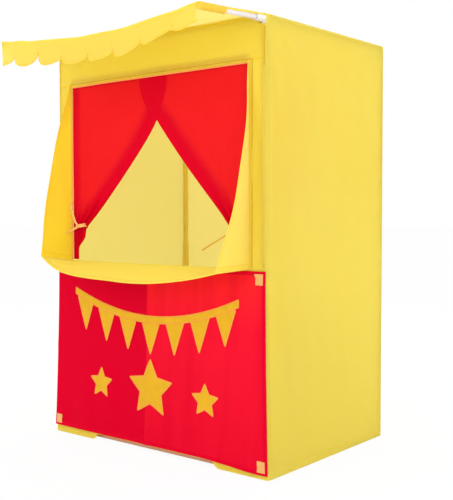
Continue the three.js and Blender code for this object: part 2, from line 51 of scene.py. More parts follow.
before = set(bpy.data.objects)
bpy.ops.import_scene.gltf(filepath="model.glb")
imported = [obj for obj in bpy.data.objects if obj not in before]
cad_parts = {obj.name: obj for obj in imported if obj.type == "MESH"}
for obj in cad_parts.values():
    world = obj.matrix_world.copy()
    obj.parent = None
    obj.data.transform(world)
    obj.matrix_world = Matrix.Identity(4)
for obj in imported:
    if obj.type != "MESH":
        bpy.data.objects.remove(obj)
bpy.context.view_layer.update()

# Places read from the frame, in metres
ROOF_LOW, ROOF_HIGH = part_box("roof_panel")
HALF_WIDTH = ROOF_HIGH.x
FRONT_Y = ROOF_LOW.y
BACK_Y = ROOF_HIGH.y
TOP_Z = ROOF_HIGH.z
FLOOR_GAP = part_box("wall_right")[0].z
WINDOW_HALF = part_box("side_strip_right")[0].x
WINDOW_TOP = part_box("header_panel")[0].z
SILL_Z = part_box("lower_front_panel")[1].z
FRONT_POST_LOW, FRONT_POST_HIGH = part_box("post_upper_front_right")
POST_X = (FRONT_POST_LOW.x + FRONT_POST_HIGH.x) / 2
FRONT_POST_Y = (FRONT_POST_LOW.y + FRONT_POST_HIGH.y) / 2
BACK_POST_Y = sum(corner.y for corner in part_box("post_upper_back_right")) / 2
TUBE_RADIUS = (FRONT_POST_HIGH.x - FRONT_POST_LOW.x) / 2
SILL_RAIL_Z = sum(corner.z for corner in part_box("rail_sill")) / 2
BOTTOM_RAIL_Z = sum(corner.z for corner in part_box("rail_bottom_front")) / 2
TOP_RAIL_Z = sum(corner.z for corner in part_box("rail_top_front")) / 2
ARM_LOW, ARM_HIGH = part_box("awning_arm_right")
CANOPY_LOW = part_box("awning_canopy")[0]
CANOPY_FRONT_Y = CANOPY_LOW.y + 0.0006
VALANCE_LOW, VALANCE_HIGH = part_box("awning_valance")
TRAY_LOW, TRAY_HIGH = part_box("ledge_tray")
LEDGE_FRONT_Y = TRAY_LOW.y
GUSSET_TOP_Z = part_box("gusset_right")[1].z
SIGN_LOW, SIGN_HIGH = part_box("sign_banner")
CURTAIN_LOW, CURTAIN_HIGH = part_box("curtain_right")
FLAP_TOP_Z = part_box("back_flap_right")[1].z

# Hems and seams. These sizes and those below are in metres unless the name says otherwise
HEM_SOFT = 0.0012
STITCH_INSET = 0.002
WALL_HEM = 0.011
FLOOR_HEM = 0.021
SEAM_HEM = 0.008
HEADER_HEM = 0.005
PANEL_HEM = 0.016
FLAP_HEM = 0.018
# Radius of the dark cords that paint the shadow lines beside the front's seams
SEAM_SHADOW_RADIUS = 0.0011
WELT_RADIUS = 0.0013
BINDING_WIDTH = 0.0105
CREASE_FADE = 0.045

# The cover's box
FLARE_TOP_Z = 0.44
FLARE_LEAN_SHARE = 0.54
FLARE_SPREAD_SHARE = 0.75
HEADER_DROP = 0.0085
HEADER_SAG = 0.0015
HEADER_SAG_LENGTH = 0.15
# Height of the painted shadow line above the header's seam
HEADER_SHADOW_LINE_RISE = 0.0055
CORNER_SLIT = 0.021
CORNER_WRAP_X = 0.2091
CORNER_WRAP_CURVE = 0.018
PANEL_RISE = 0.016
STRIP_POST_RIDGE = 0.0012
FLAP_INNER_X = 0.0002
FLAP_OUTER_X = HALF_WIDTH - 0.0016
FLAP_SLACK = 0.003

# Sleeves of the posts
SLEEVE_RADIUS = 0.0073
SLEEVE_ANGLE = math.radians(250)
SLEEVE_SEWN_SHARE = 0.2
SLEEVE_ROOM = 0.0021
SLEEVE_END = 0.034
SLEEVE_SILL_GAP = 0.012

# Awning. Each notch between two lobes of the valance is at (x, height)
AWNING_SAG = 0.026
AWNING_LOWEST_X = 0.055
AWNING_SAG_POWER = 1.2
AWNING_SIDE_HEM = 0.012
AWNING_HEM = 0.010
CANOPY_LIFT = 0.00975
CANOPY_TURN = 0.0095
CANOPY_HALF = POST_X + CANOPY_TURN
ARM_WRAP_RADIUS = 0.0078
POCKET_LENGTH = 0.075
POCKET_RADIUS = TUBE_RADIUS + 0.0018
SCALLOPS = ((-0.373, 0.035), (-0.283, 0.035), (-0.189, 0.027), (-0.099, 0.041), (-0.010, 0.041),
            (0.076, 0.040), (0.163, 0.036), (0.251, 0.026), (0.340, 0.025))
SCALLOP_SKEW_POWER = 0.62
SCALLOP_TIP = 0.062
SCALLOP_RIGHT_TIP = 0.042
VALANCE_SWING = 0.0016
VALANCE_END_CURL = 0.004
VALANCE_RIGHT_CURL = 0.010
VALANCE_RIGHT_DRAW = 0.006
VALANCE_LEFT_DRAW = 0.005

# Ledge
LEDGE_REACH = 0.104
LEDGE_DROP = 0.043
LEDGE_BELLY = 0.001
LEDGE_ROLL = 0.00075
LEDGE_DROP_POWER = 1.15
LEDGE_LEFT_POWER = 5.5
LEDGE_RIGHT_POWER = 1.8
LEDGE_LEFT_RISE = 0.0159
LEDGE_RIGHT_RISE = -0.0055
LEDGE_RIGHT_DRAW = 0.012
LEDGE_HEM = 0.012
GUSSET_BOW = 0.024
GUSSET_TOP_WIDTH = 0.003
GUSSET_EDGE_POWER = 1.07
GUSSET_EDGE_HEM = 0.006
GUSSET_LOW_HEM = 0.014
GUSSET_HEM_RUN = 0.45

# Curtains and ties. A dictionary has one value for the left side, -1, and one for the right, 1
CURTAIN_GAP = 0.0034
CURTAIN_LAYER_GAP = 0.0024
CURTAIN_CROSSING_Z = 0.832
CURTAIN_OVERLAP = 0.048
CURTAIN_CROSSING_X = 0.011
CURTAIN_EDGE_POWER = {-1: 1.2, 1: 1.03}
CURTAIN_FOLD_COUNT = 4
CURTAIN_HEM_BAND = (0.036, 0.080)
# Bands beside the curtains' outer seams: seam allowance, and on the left mostly painted shade
CURTAIN_SEAM_HEM_AND_SHADE_BAND = {-1: (0.015, 0.036), 1: (0.006, 0.022)}
CURTAIN_SEAM_HEM_AND_SHADE_SHARE = {-1: 0.85, 1: 0.15}
BUNDLE_HALF_DEPTH = 0.009
BUNDLE_Y = -0.1385
# Share where the cloth is gathered at the tie: its layers, and painted shade among its folds
BUNDLE_LAYER_AND_SHADE_SHARE = 0.8
TIE_RING_Z = 0.564
RING_INNER_X = {-1: 0.2655, 1: 0.240}
TAIL_INNER_X = 0.2885
TIE_WIDTH = 0.0055
TIE_THICKNESS = 0.0011

# Sign
SIGN_HEM = 0.010
SIGN_CREASE_X = -0.012
SIGN_CREASE_HEIGHT = 0.0022
SIGN_FOLD_HEIGHT = 0.0009
SIGN_RIPPLE = 0.0011
SIGN_HEM_RISE = 0.009
SIGN_RISE_END_X = 0.15
SIGN_STREAKS_TOP_Z = 0.30
# Heights over which the sign's upper part gets painted light
SIGN_PAINTED_LIGHT_LOW_Z = 0.33
SIGN_PAINTED_LIGHT_HIGH_Z = 0.43
HOOK_WIDTH = 0.020
HOOK_HEIGHT = 0.025
HOOK_THICKNESS = 0.0013
HOOK_PEEL = 0.006
GARLAND_HALF = 0.28
GARLAND_END_Z = 0.4
GARLAND_SAG = 0.058
GARLAND_RIBBON = 0.016
PENNANT_COUNT = 7
PENNANT_WIDTH = 0.062
PENNANT_HEIGHT = 0.084
PENNANT_CENTRE_SHARE = 0.36

# Tubes and connectors
TUBE_WALL = 0.0012
TUBE_EASE = 0.0005
SOCKET_RADIUS = 0.0083
SOCKET_BEAD = 0.00035
SOCKET_BORE = TUBE_RADIUS + 0.0003
SOCKET_REACH = 0.034
SOCKET_FLOOR = 0.009
CLOSED_END = 0.0004

SIDES = (("left", -1), ("right", 1))


def length(name, description, value):
    return FloatProperty(name=name, description=description, default=value, unit="LENGTH")


def power(name, description, value):
    return FloatProperty(name=name, description=description, default=value, unit="POWER")


def colour(name, description, value):
    return FloatVectorProperty(name=name, description=description, default=value, size=3,
                               subtype="COLOR_GAMMA", min=0, max=1)


class TheatreSizes(PropertyGroup):
    """Sizes of the cloth and its sewing."""

    cloth: length("Cloth", "Thickness of the cover cloth", 0.0009)
    hem: length("Hem", "Extra thickness of a turned hem", 0.0008)
    edge: length("Edge", "Radius of the cover's edges", 0.007)
    sag: length("Sag", "How far a wall is drawn in", 0.003)
    crease: length("Crease", "Depth of soft creases", 0.0016)
    flare: length("Flare", "How far the front hem stands out", 0.014)
    step: length("Step", "Spacing of a panel's mesh", 0.009)
    stitch_pitch: length("Stitch pitch", "Stitch spacing", 0.006)
    stitch_length: length("Stitch", "Length of a stitch", 0.0042)
    stitch_radius: length("Thread", "Radius of the thread", 0.0004)
    piping: length("Piping", "Radius of the window's piping", 0.0020)
    weave: length("Weave", "Spacing of the threads", 0.0007)
    seed: IntProperty(name="Seed", description="Seed of the creases", default=7)


class TheatreColours(PropertyGroup):
    """Colours of the finishes, as they look on a screen."""

    cover: colour("Cover", "Yellow cover cloth", (0.99, 0.938, 0.46))
    # Yellow for hems and two layers, and for painted shade, as on the left gusset's inner face
    cover_deep_and_shade: colour("Cover hems", "Yellow cloth in two layers", (0.99, 0.895, 0.20))
    glow: colour("Light through the cover", "Light that comes through the yellow weave", (0.99, 0.978, 0.82))
    # Painted light: a brighter lemon copy of the cover's yellow for the ledge, which is lit from above
    ledge: colour("Ledge", "Yellow cloth of the ledge, seen from above", (1.0, 0.945, 0.37))
    # Painted light: a paler, warmer copy of the cover's yellow, which lightens the sleeves in the shade
    # inside the stand
    sleeve: colour("Sleeves", "Yellow cloth round the posts, seen from inside", (1.0, 0.92, 0.50))
    # Painted shade: a deeper, warmer copy of the cover's yellow for the pockets, which are in shade
    pocket: colour("Pockets", "Yellow cloth round the ends of the awning's arms", (1.0, 0.84, 0.28))
    # Painted shadow: a brownish gold for the thin cords that stand for the shadow lines beside the front's
    # seams
    seam: colour("Folded seams", "Shaded folds beside the seams of the front", (0.84, 0.64, 0.13))
    curtain: colour("Curtain", "Red curtain cloth", (0.975, 0.165, 0.18))
    # Red for hems and two layers, and painted shade where the curtains overlap, beside the left curtain's
    # seam and at the ties
    curtain_deep_and_shade: colour("Curtain hems", "Red cloth in two layers", (0.86, 0.0, 0.14))
    sign: colour("Sign", "Red cloth of the sign", (0.94, 0.09, 0.19))
    # Painted shade: the deeper red left of the sign's crease, where the cloth catches no sheen, and in its
    # streaks; also the red of its hems
    sign_deep_and_shade: colour("Sign left of its crease", "Red cloth that lies the other way", (0.855, 0.0, 0.16))
    # Painted light: a brighter red for the sign's upper part, which lifts the shadow under the ledge
    sign_painted_light: colour("Upper part of the sign", "Red cloth under the ledge", (1.0, 0.15, 0.18))
    # Painted light: the binding tape is yellow, and this peach is the red curtains' bounce light on it
    piping: colour("Piping", "Bias tape round the window", (1.0, 0.69, 0.38))
    felt: colour("Felt", "Gold felt", (0.88, 0.68, 0.12))
    felt_edge: colour("Felt edge", "Satin stitch round the felt", (0.98, 0.67, 0.25))
    loop: colour("Loop tape", "Tan hook and loop tape", (0.93, 0.70, 0.42))
    tie: colour("Ties", "Ribbon of the left curtain's tie", (1.0, 0.76, 0.45))
    # Painted shade: a darker copy of the tie ribbon for the right tie, which stands in shade against the lit
    # inside
    shaded_tie: colour("Shaded tie", "Ribbon of the right curtain's tie", (0.90, 0.69, 0.24))
    thread: colour("Thread", "Sewing thread of the cover", (0.95, 0.79, 0.26))
    red_thread: colour("Red thread", "Sewing thread of the red cloth", (0.85, 0.0, 0.12))
    tube: colour("Tube", "White tube", (0.88, 0.86, 0.87))
    # Painted light: the sign's red bounce light, with shade, on the white rail below it
    rail_painted_bounce: colour("Rail below the sign", "White tube that the sign's red falls on", (0.84, 0.62, 0.50))
    connector: colour("Connector", "White moulded connector", (0.90, 0.89, 0.88))
    floor: colour("Floor", "Studio floor", (0.93, 0.93, 0.93))


class TheatreStudio(PropertyGroup):
    """The photographer's floor, lamps and camera."""

    floor: length("Floor", "Half the width of the floor", 40)
    key: power("Key", "Power of the key lamp", 22.5)
    fill: power("Fill", "Power of the fill lamp", 24)
    top: power("Top", "Power of the overhead lamp", 15)
    back: power("Back", "Power of the lamp behind", 22.5)
    sky: FloatProperty(name="Sky", description="Strength of the even light", default=1.0)
    yaw: FloatProperty(name="Yaw", description="Turn of the camera", subtype="ANGLE",
                       default=math.radians(-39.96))
    pitch: FloatProperty(name="Pitch", description="Tilt of the camera", subtype="ANGLE",
                         default=math.radians(-2.25))
    place: FloatVectorProperty(name="Camera", description="Place of the camera", size=3,
                               subtype="TRANSLATION", default=(1.5502, -1.7157, 0.594))
    lens: FloatProperty(name="Lens", description="Focal length", default=63.54, subtype="DISTANCE_CAMERA")


def sizes():
    return bpy.context.scene.theatre_sizes


def colours():
    return bpy.context.scene.theatre_colours


def hem_thickness():
    return sizes().cloth + sizes().hem


# Curves and folds as plain functions of arrays

def smooth(share):
    share = np.clip(share, 0, 1)
    return share * share * (3 - 2 * share)


def between(value, start, end):
    """0 before start, 1 after end, and a soft rise between them."""
    return smooth((np.asarray(value, float) - start) / (end - start))


def mix(a, b, share):
    return a + (b - a) * share


def stack(*coordinates):
    return np.stack(np.broadcast_arrays(*coordinates), axis=-1).astype(float)


def creases(u, v, seed, wave=0.16, count=6):
    """Soft folds of lightly stretched cloth, from -1 to 1, for places in metres."""
    chance = Random(seed)
    total = np.zeros(np.broadcast(u, v).shape)
    for _ in range(count):
        turn = chance.uniform(0, math.pi)
        length = wave * chance.uniform(0.6, 1.8)
        phase = chance.uniform(0, math.tau)
        along = u * math.cos(turn) + v * math.sin(turn)
        across = v * math.cos(turn) - u * math.sin(turn)
        bend = 0.9 * np.sin(math.tau * across / (3.1 * length))
        total = total + np.sin(math.tau * along / length + phase + bend)
    return total / count


def pulls(u, v, corners, reach=0.1, rays=9):
    """Short creases that fan out from the corners where the cloth is held."""
    total = np.zeros(np.broadcast(u, v).shape)
    for corner_u, corner_v in corners:
        away = np.hypot(u - corner_u, v - corner_v)
        turn = np.arctan2(v - corner_v, u - corner_u)
        total = total + np.sin(2 * rays * turn) * np.exp(-away / reach) * smooth(away / (reach / 3))
    return total


def inside(u, v, low_u, high_u, low_v, high_v, margin=CREASE_FADE):
    """0 on the border of a panel, rising to 1 away from it."""
    near = np.minimum(np.minimum(u - low_u, high_u - u), np.minimum(v - low_v, high_v - v))
    return smooth(near / margin)


def stops(low, high, step, low_hem=0.0, high_hem=0.0, edge=0.0):
    """Places from low to high, closer together at a hem's end and on a rounded edge."""
    count = max(3, round((high - low) / step))
    places = list(np.linspace(low, high, count + 1))
    for hem, start, way in ((low_hem, low, 1), (high_hem, high, -1)):
        if hem:
            places += [start + way * (hem + HEM_SOFT * share) for share in (-1, -0.5, 0, 0.5)]
    if edge:
        places += [start + way * edge * quarter / 4 for start, way in ((low, 1), (high, -1))
                   for quarter in (1, 2, 3, 4)]
    return np.unique(np.round([place for place in places if low <= place <= high], 6))


def hemmed(distance, width):
    """1 within a hem of that width and 0 past it."""
    return 1 - between(distance, width - HEM_SOFT, width)


# Meshes

def mesh_piece(name, points, faces, sharp_angle=50):
    """An object in the scene, smooth but for edges past that angle."""
    mesh = bpy.data.meshes.new(name)
    mesh.from_pydata(np.asarray(points, float).tolist(), [], [list(map(int, face)) for face in faces])
    mesh.polygons.foreach_set("use_smooth", np.ones(len(mesh.polygons), bool))
    mesh.set_sharp_from_angle(angle=math.radians(sharp_angle))
    mesh.update()
    piece = bpy.data.objects.new(name, mesh)
    bpy.context.scene.collection.objects.link(piece)
    return piece


def sheet_mesh(place, across, along, thickness):
    """Points and faces of a closed sheet: place gives its middle surface."""
    u, v = np.meshgrid(across, along, indexing="ij")
    middle = place(u, v)
    normal = np.cross(np.gradient(middle, axis=0), np.gradient(middle, axis=1))
    normal /= np.maximum(np.linalg.norm(normal, axis=-1, keepdims=True), 1e-12)
    thick = thickness(u, v) if callable(thickness) else thickness
    out = normal * (np.broadcast_to(thick, u.shape) / 2)[..., None]
    points = np.concatenate([(middle + out).reshape(-1, 3), (middle - out).reshape(-1, 3)])
    index = np.arange(u.size).reshape(u.shape)
    front = np.stack([index[:-1, :-1], index[1:, :-1], index[1:, 1:], index[:-1, 1:]], -1).reshape(-1, 4)
    rim = np.concatenate([index[:-1, 0], index[-1, :-1], index[:0:-1, -1], index[0, :0:-1]])
    after = np.roll(rim, -1)
    side = np.stack([after, rim, rim + u.size, after + u.size], -1)
    return points, np.concatenate([front, front[:, ::-1] + u.size, side]), u, v


def swapped(function):
    """The same function of two places, given in the other order."""
    return lambda second, first: function(first, second)


def cloth_piece(name, place, across, along, thickness, hem=None, turned=False):
    """A sheet of cloth. hem gives the share of a second layer and of painted shade, for the finish; turned
    swaps its faces.
    """
    if turned:
        place, across, along = swapped(place), along, across
        thickness = swapped(thickness) if callable(thickness) else thickness
        hem = swapped(hem) if hem else None
    points, faces, u, v = sheet_mesh(place, across, along, thickness)
    piece = mesh_piece(name, points, faces)
    layer = np.zeros(u.size) if hem is None else np.broadcast_to(hem(u, v), u.shape).ravel()
    attribute = piece.data.attributes.new("second_layer_and_shade", "FLOAT", "POINT")
    attribute.data.foreach_set("value", np.concatenate([layer, layer]).astype(np.float32))
    return piece


def joined_piece(name, parts, sharp_angle=50):
    """One piece from several closed meshes, each given as points and faces."""
    points = []
    faces = []
    for part_points, part_faces in parts:
        start = sum(len(chunk) for chunk in points)
        points.append(np.asarray(part_points, float))
        faces += [[start + int(corner) for corner in face] for face in part_faces]
    return mesh_piece(name, np.concatenate(points), faces, sharp_angle)


def turned_mesh(profile, start, way, sides=36):
    """A turned body: its closed profile of (along, radius) runs round the line from start."""
    way = np.array(way, float) / np.linalg.norm(way)
    beside = np.cross(way, (0, 0, 1) if abs(way[2]) < 0.9 else (1, 0, 0))
    beside /= np.linalg.norm(beside)
    other = np.cross(way, beside)
    turns = np.arange(sides) * math.tau / sides
    ring = np.cos(turns)[:, None] * beside + np.sin(turns)[:, None] * other
    points = np.concatenate([np.array(start) + way * along + ring * radius for along, radius in profile])
    faces = []
    for k in range(len(profile)):
        after = (k + 1) % len(profile)
        for j in range(sides):
            right = (j + 1) % sides
            faces.append((k * sides + j, k * sides + right, after * sides + right, after * sides + j))
    return points, faces


def piping_piece(name, lines, radius):
    """Round cord along each line of points, as one curve."""
    curve = bpy.data.curves.new(name, "CURVE")
    curve.dimensions = "3D"
    curve.bevel_depth = radius
    curve.bevel_resolution = 3
    curve.use_fill_caps = True
    for line in lines:
        spline = curve.splines.new("POLY")
        spline.points.add(len(line) - 1)
        spline.points.foreach_set("co", np.concatenate([line, np.ones((len(line), 1))], 1).ravel())
        spline.use_smooth = True
    piece = bpy.data.objects.new(name, curve)
    bpy.context.scene.collection.objects.link(piece)
    return piece


def seam(place, u, v, thickness, margin=0.0, face=1):
    """A row of stitches on one face of a sheet: evenly spaced places with their way and normal."""
    u, v = (np.asarray(line, float) for line in np.broadcast_arrays(u, v))
    line = place(u, v)
    small = 1e-3
    along_u = place(u + small, v) - place(u - small, v)
    along_v = place(u, v + small) - place(u, v - small)
    normal = np.cross(along_u, along_v)
    normal *= face / np.maximum(np.linalg.norm(normal, axis=-1, keepdims=True), 1e-12)
    steps = np.linalg.norm(np.diff(line, axis=0), axis=1)
    run = np.concatenate([[0], np.cumsum(steps)])
    count = max(1, int((run[-1] - 2 * margin) / sizes().stitch_pitch))
    marks = margin + (np.arange(count) + 0.5) * (run[-1] - 2 * margin) / count

    def along(places, values):
        return np.stack([np.interp(places, run, values[:, k]) for k in range(3)], -1)

    at, up = along(marks, line), along(marks, normal)
    return at + up * (thickness / 2), along(marks + small, line) - along(marks - small, line), up


def both_faces(place, u, v, margin=0.0, thickness=None):
    """The same row of stitches on both faces of a sheet, which is as thick as a hem unless said."""
    return [seam(place, u, v, thickness or hem_thickness(), margin, face) for face in (1, -1)]


def stitches_piece(name, seams):
    """Every stitch of these seams, as one piece: a short thread that tapers into the cloth."""
    size = sizes()
    at, way, up = (np.concatenate([row[k] for row in seams]) for k in range(3))
    way /= np.maximum(np.linalg.norm(way, axis=1, keepdims=True), 1e-12)
    up /= np.maximum(np.linalg.norm(up, axis=1, keepdims=True), 1e-12)
    side = np.cross(way, up)
    rings = []
    for along in (-0.32, 0.32):
        for sideways, lift in ((1, 0), (0, 1), (-1, 0), (0, -1)):
            out = (side * sideways + up * lift) * size.stitch_radius
            rings.append(way * along * size.stitch_length + out)
    tips = [way * share * size.stitch_length - up * size.stitch_radius for share in (-0.5, 0.5)]
    points = np.stack([at + offset for offset in rings + tips], axis=1).reshape(-1, 3)
    faces = [(k, k + 4, (k + 1) % 4 + 4, (k + 1) % 4) for k in range(4)]
    ends = [(8, k, (k + 1) % 4) for k in range(4)] + [(9, (k + 1) % 4 + 4, k + 4) for k in range(4)]
    every = [[10 * n + corner for corner in face] for n in range(len(at)) for face in faces + ends]
    return mesh_piece(name, points, every, 80)


def dress(piece, finish, body="stand", nodes=()):
    """Gives a piece its finish and body, and hides the nodes it stands for."""
    piece.data.materials.append(finish_of(finish))
    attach(piece, body)
    if nodes:
        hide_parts(*nodes)
    return piece


def cover_panel(name, nodes, place, across, along, layers, turned=False, finish="cover"):
    """A panel of the cover in place of these nodes. layers is what thick_hem gives."""
    hem, thickness = layers
    panel = cloth_piece(name, place, across, along, thickness, hem, turned)
    return dress(panel, finish, nodes=nodes)


def sewn(name, rows, finish="thread", slot="cover_cloth", body="stand"):
    """The stitches of these rows, dressed in their thread."""
    return dress(stitches_piece(name, rows), finish, body)


# Finishes

def linear(rgb):
    """A screen colour as the render takes it, with its opacity."""
    return tuple(c / 12.92 if c <= 0.04045 else ((c + 0.055) / 1.055) ** 2.4 for c in rgb) + (1,)


def add(tree, kind, settings=None, **inputs):
    """A node with its settings, and its inputs set or linked from (node, output)."""
    made = tree.nodes.new(kind)
    for name, value in (settings or {}).items():
        setattr(made, name, value)
    for name, value in inputs.items():
        socket = made.inputs[int(name[1:])] if name[0] == "_" else made.inputs[name.replace("_", " ")]
        if isinstance(value, tuple) and isinstance(value[0], bpy.types.Node):
            tree.links.new(value[0].outputs[value[1]], socket)
        else:
            socket.default_value = value
    return made


def blank_finish(name):
    """A new material with an empty node tree."""
    material = bpy.data.materials.new(f"{name}_finish")
    material.use_nodes = True
    material.node_tree.nodes.clear()
    return material, material.node_tree


def mixed(tree, factor, first, second):
    """A colour between two: each is a value or (node, output)."""
    return add(tree, "ShaderNodeMix", {"data_type": "RGBA"}, _0=factor, _6=first, _7=second), "Result"


def ranged(tree, value, low, high, new_low, new_high):
    """A value moved from one range to another one, and kept in it."""
    return add(tree, "ShaderNodeMapRange", None, Value=value, From_Min=low, From_Max=high, To_Min=new_low,
               To_Max=new_high), "Result"


def weave_height(tree, place, pitch):
    """Crossed threads in all three planes of the object."""
    scaled = add(tree, "ShaderNodeVectorMath", {"operation": "SCALE"}, Vector=place, Scale=math.pi / pitch)
    wave = add(tree, "ShaderNodeVectorMath", {"operation": "SINE"}, _0=(scaled, 0))
    total = add(tree, "ShaderNodeVectorMath", {"operation": "DOT_PRODUCT"}, _0=(wave, 0), _1=(1, 1, 1))
    return total, "Value"


def cloth_finish(name, base, deep, see_through, roughness, shine_level, pitch, through=None, extra=None,
                 doubled_share=0.6):
    """Thin woven cloth: threads, slubs and soft colour changes, deeper where it lies in two layers and where
    shade is painted.
    """
    material, tree = blank_finish(name)
    place = (add(tree, "ShaderNodeTexCoord"), "Object")
    slub = (add(tree, "ShaderNodeTexNoise", None, Vector=place, Scale=190.0, Detail=3.0), "Fac")
    cloud = (add(tree, "ShaderNodeTexNoise", None, Vector=place, Scale=5.0, Detail=4.0), "Fac")
    layer = (add(tree, "ShaderNodeAttribute", {"attribute_name": "second_layer_and_shade"}), "Fac")
    depth = ranged(tree, cloud, 0.3, 0.7, 0.0, 0.16)
    uneven = mixed(tree, depth, linear(base), linear(deep))
    if extra:
        uneven = extra(tree, place, uneven, linear(deep))
    # Deeper by the attribute: second layers, and painted shade
    doubled = mixed(tree, ranged(tree, layer, 0.0, 1.0, 0.0, 0.95), uneven, linear(deep))
    spots = mixed(tree, ranged(tree, slub, 0.35, 0.75, 0.0, 0.10), doubled, linear(deep))
    threads = weave_height(tree, place, pitch)
    height = add(tree, "ShaderNodeMath", {"operation": "MULTIPLY_ADD"}, _0=slub, _1=2.2, _2=threads)
    bump = add(tree, "ShaderNodeBump", None, Strength=0.35, Distance=0.00022, Height=(height, 0))
    shine = ranged(tree, cloud, 0.3, 0.7, roughness - 0.06, roughness + 0.06)
    solid = add(tree, "ShaderNodeBsdfPrincipled", None, Base_Color=spots, Roughness=shine, Normal=(bump, 0),
                Sheen_Weight=shine_level / 3, Sheen_Roughness=0.45, Specular_IOR_Level=shine_level)
    lit = mixed(tree, ranged(tree, layer, 0.0, 1.0, 0.8, 0.35), spots, linear(through)) if through else spots
    glow = add(tree, "ShaderNodeBsdfTranslucent", None, Color=lit, Normal=(bump, 0))
    clear = ranged(tree, layer, 0.0, 1.0, see_through, see_through * doubled_share)
    whole = add(tree, "ShaderNodeMixShader", None, _0=clear, _1=(solid, 0), _2=(glow, 0))
    add(tree, "ShaderNodeOutputMaterial", None, Surface=(whole, 0))
    return material


def sign_painted_shading(tree, place, uneven, deep):
    """Painted light and shade on the sign's cloth: deeper left of its crease, where it catches no sheen,
    deeper towards its hem and in soft streaks of painted wrinkle shade, and lighter in its upper part, where
    painted light lifts the ledge's shadow.
    """
    split = add(tree, "ShaderNodeSeparateXYZ", None, Vector=place)
    # Painted shade left of the crease, where the cloth catches no sheen
    left = ranged(tree, (split, "X"), SIGN_CREASE_X + 0.0006, SIGN_CREASE_X - 0.0006, 0.0, 1.0)
    # Darker towards the hem
    low = ranged(tree, (split, "Z"), SIGN_STREAKS_TOP_Z, SIGN_LOW.z, 0.0, 0.45)
    # Soft upright streaks of painted wrinkle shade
    upright = add(tree, "ShaderNodeMapping", None, Vector=place, Scale=(24.0, 1.0, 2.5))
    streak = (add(tree, "ShaderNodeTexNoise", None, Vector=(upright, 0), Scale=1.0, Detail=2.0), "Fac")
    streaks = ranged(tree, streak, 0.42, 0.68, 0.0, 0.3)
    soft = add(tree, "ShaderNodeMath", {"operation": "ADD"}, _0=low, _1=streaks)
    share = add(tree, "ShaderNodeMath", {"operation": "MAXIMUM"}, _0=left, _1=(soft, 0))
    # Painted light on the upper part, which lifts the ledge's shadow
    high = ranged(tree, (split, "Z"), SIGN_PAINTED_LIGHT_LOW_Z, SIGN_PAINTED_LIGHT_HIGH_Z, 0.0, 1.0)
    upper = mixed(tree, high, uneven, linear(colours().sign_painted_light))
    return mixed(tree, (share, 0), upper, deep)


def painted_sign_bounce(tree, place, tint):
    """Painted red bounce light from the sign, with shade, on the front of the bottom rail, which shows below
    it.
    """
    split = add(tree, "ShaderNodeSeparateXYZ", None, Vector=place)
    back_y, front_y = FRONT_POST_Y - TUBE_RADIUS * 0.3, FRONT_POST_Y - TUBE_RADIUS * 0.6
    front = ranged(tree, (split, "Y"), back_y, front_y, 0.0, 1.0)
    low = ranged(tree, (split, "Z"), BOTTOM_RAIL_Z + 2 * TUBE_RADIUS, BOTTOM_RAIL_Z + TUBE_RADIUS, 0.0, 1.0)
    share = add(tree, "ShaderNodeMath", {"operation": "MULTIPLY"}, _0=front, _1=low)
    return mixed(tree, (share, 0), tint, linear(colours().rail_painted_bounce))


def plastic_finish(name, base, roughness, grain, extra=None):
    """Smooth white plastic with fine moulding grain and faint scuffs; extra may add painted light to its
    colour.
    """
    material, tree = blank_finish(name)
    place = (add(tree, "ShaderNodeTexCoord"), "Object")
    fine = (add(tree, "ShaderNodeTexNoise", None, Vector=place, Scale=grain, Detail=4.0), "Fac")
    stretched = add(tree, "ShaderNodeMapping", None, Vector=place, Scale=(7.0, 90.0, 90.0))
    scuff = (add(tree, "ShaderNodeTexNoise", None, Vector=(stretched, 0), Scale=4.0, Detail=6.0), "Fac")
    worn = ranged(tree, scuff, 0.55, 0.75, 0.0, 0.35)
    tint = mixed(tree, worn, linear(base), linear([c * 0.9 for c in base]))
    if extra:
        tint = extra(tree, place, tint)
    bump = add(tree, "ShaderNodeBump", None, Strength=0.2, Distance=0.0002, Height=fine)
    shine = ranged(tree, scuff, 0.3, 0.8, roughness, roughness + 0.2)
    solid = add(tree, "ShaderNodeBsdfPrincipled", None, Base_Color=tint, Roughness=shine, Normal=(bump, 0),
                Specular_IOR_Level=0.5)
    add(tree, "ShaderNodeOutputMaterial", None, Surface=(solid, 0))
    return material


def fuzzy_finish(name, base, deep, scale, depth, ridge=0.0):
    """Felt, loops or satin thread: a matted nap with darker hollows, and ridges where it is stitched."""
    material, tree = blank_finish(name)
    place = (add(tree, "ShaderNodeTexCoord"), "Object")
    nap = (add(tree, "ShaderNodeTexNoise", None, Vector=place, Scale=scale, Detail=6.0, Distortion=1.2),
           "Fac")
    patch = (add(tree, "ShaderNodeTexNoise", None, Vector=place, Scale=38.0, Detail=3.0), "Fac")
    height = nap
    if ridge:
        turned = add(tree, "ShaderNodeMapping", None, Vector=place, Rotation=(0.0, math.radians(40), 0.0))
        lines = (add(tree, "ShaderNodeTexWave", None, Vector=(turned, 0), Scale=ridge, Distortion=1.5), "Fac")
        height = (add(tree, "ShaderNodeMath", {"operation": "ADD"}, _0=nap, _1=lines), 0)
    tint = mixed(tree, ranged(tree, nap, 0.3, 0.7, 0.0, 0.35), linear(base), linear(deep))
    tint = mixed(tree, ranged(tree, patch, 0.35, 0.7, 0.0, 0.3), tint, linear(deep))
    bump = add(tree, "ShaderNodeBump", None, Strength=0.6, Distance=depth, Height=height)
    solid = add(tree, "ShaderNodeBsdfPrincipled", None, Base_Color=tint, Roughness=0.92, Normal=(bump, 0),
                Sheen_Weight=0.1, Sheen_Roughness=0.5, Specular_IOR_Level=0.1)
    add(tree, "ShaderNodeOutputMaterial", None, Surface=(solid, 0))
    return material


def darker(rgb, share):
    return [c * share for c in rgb]


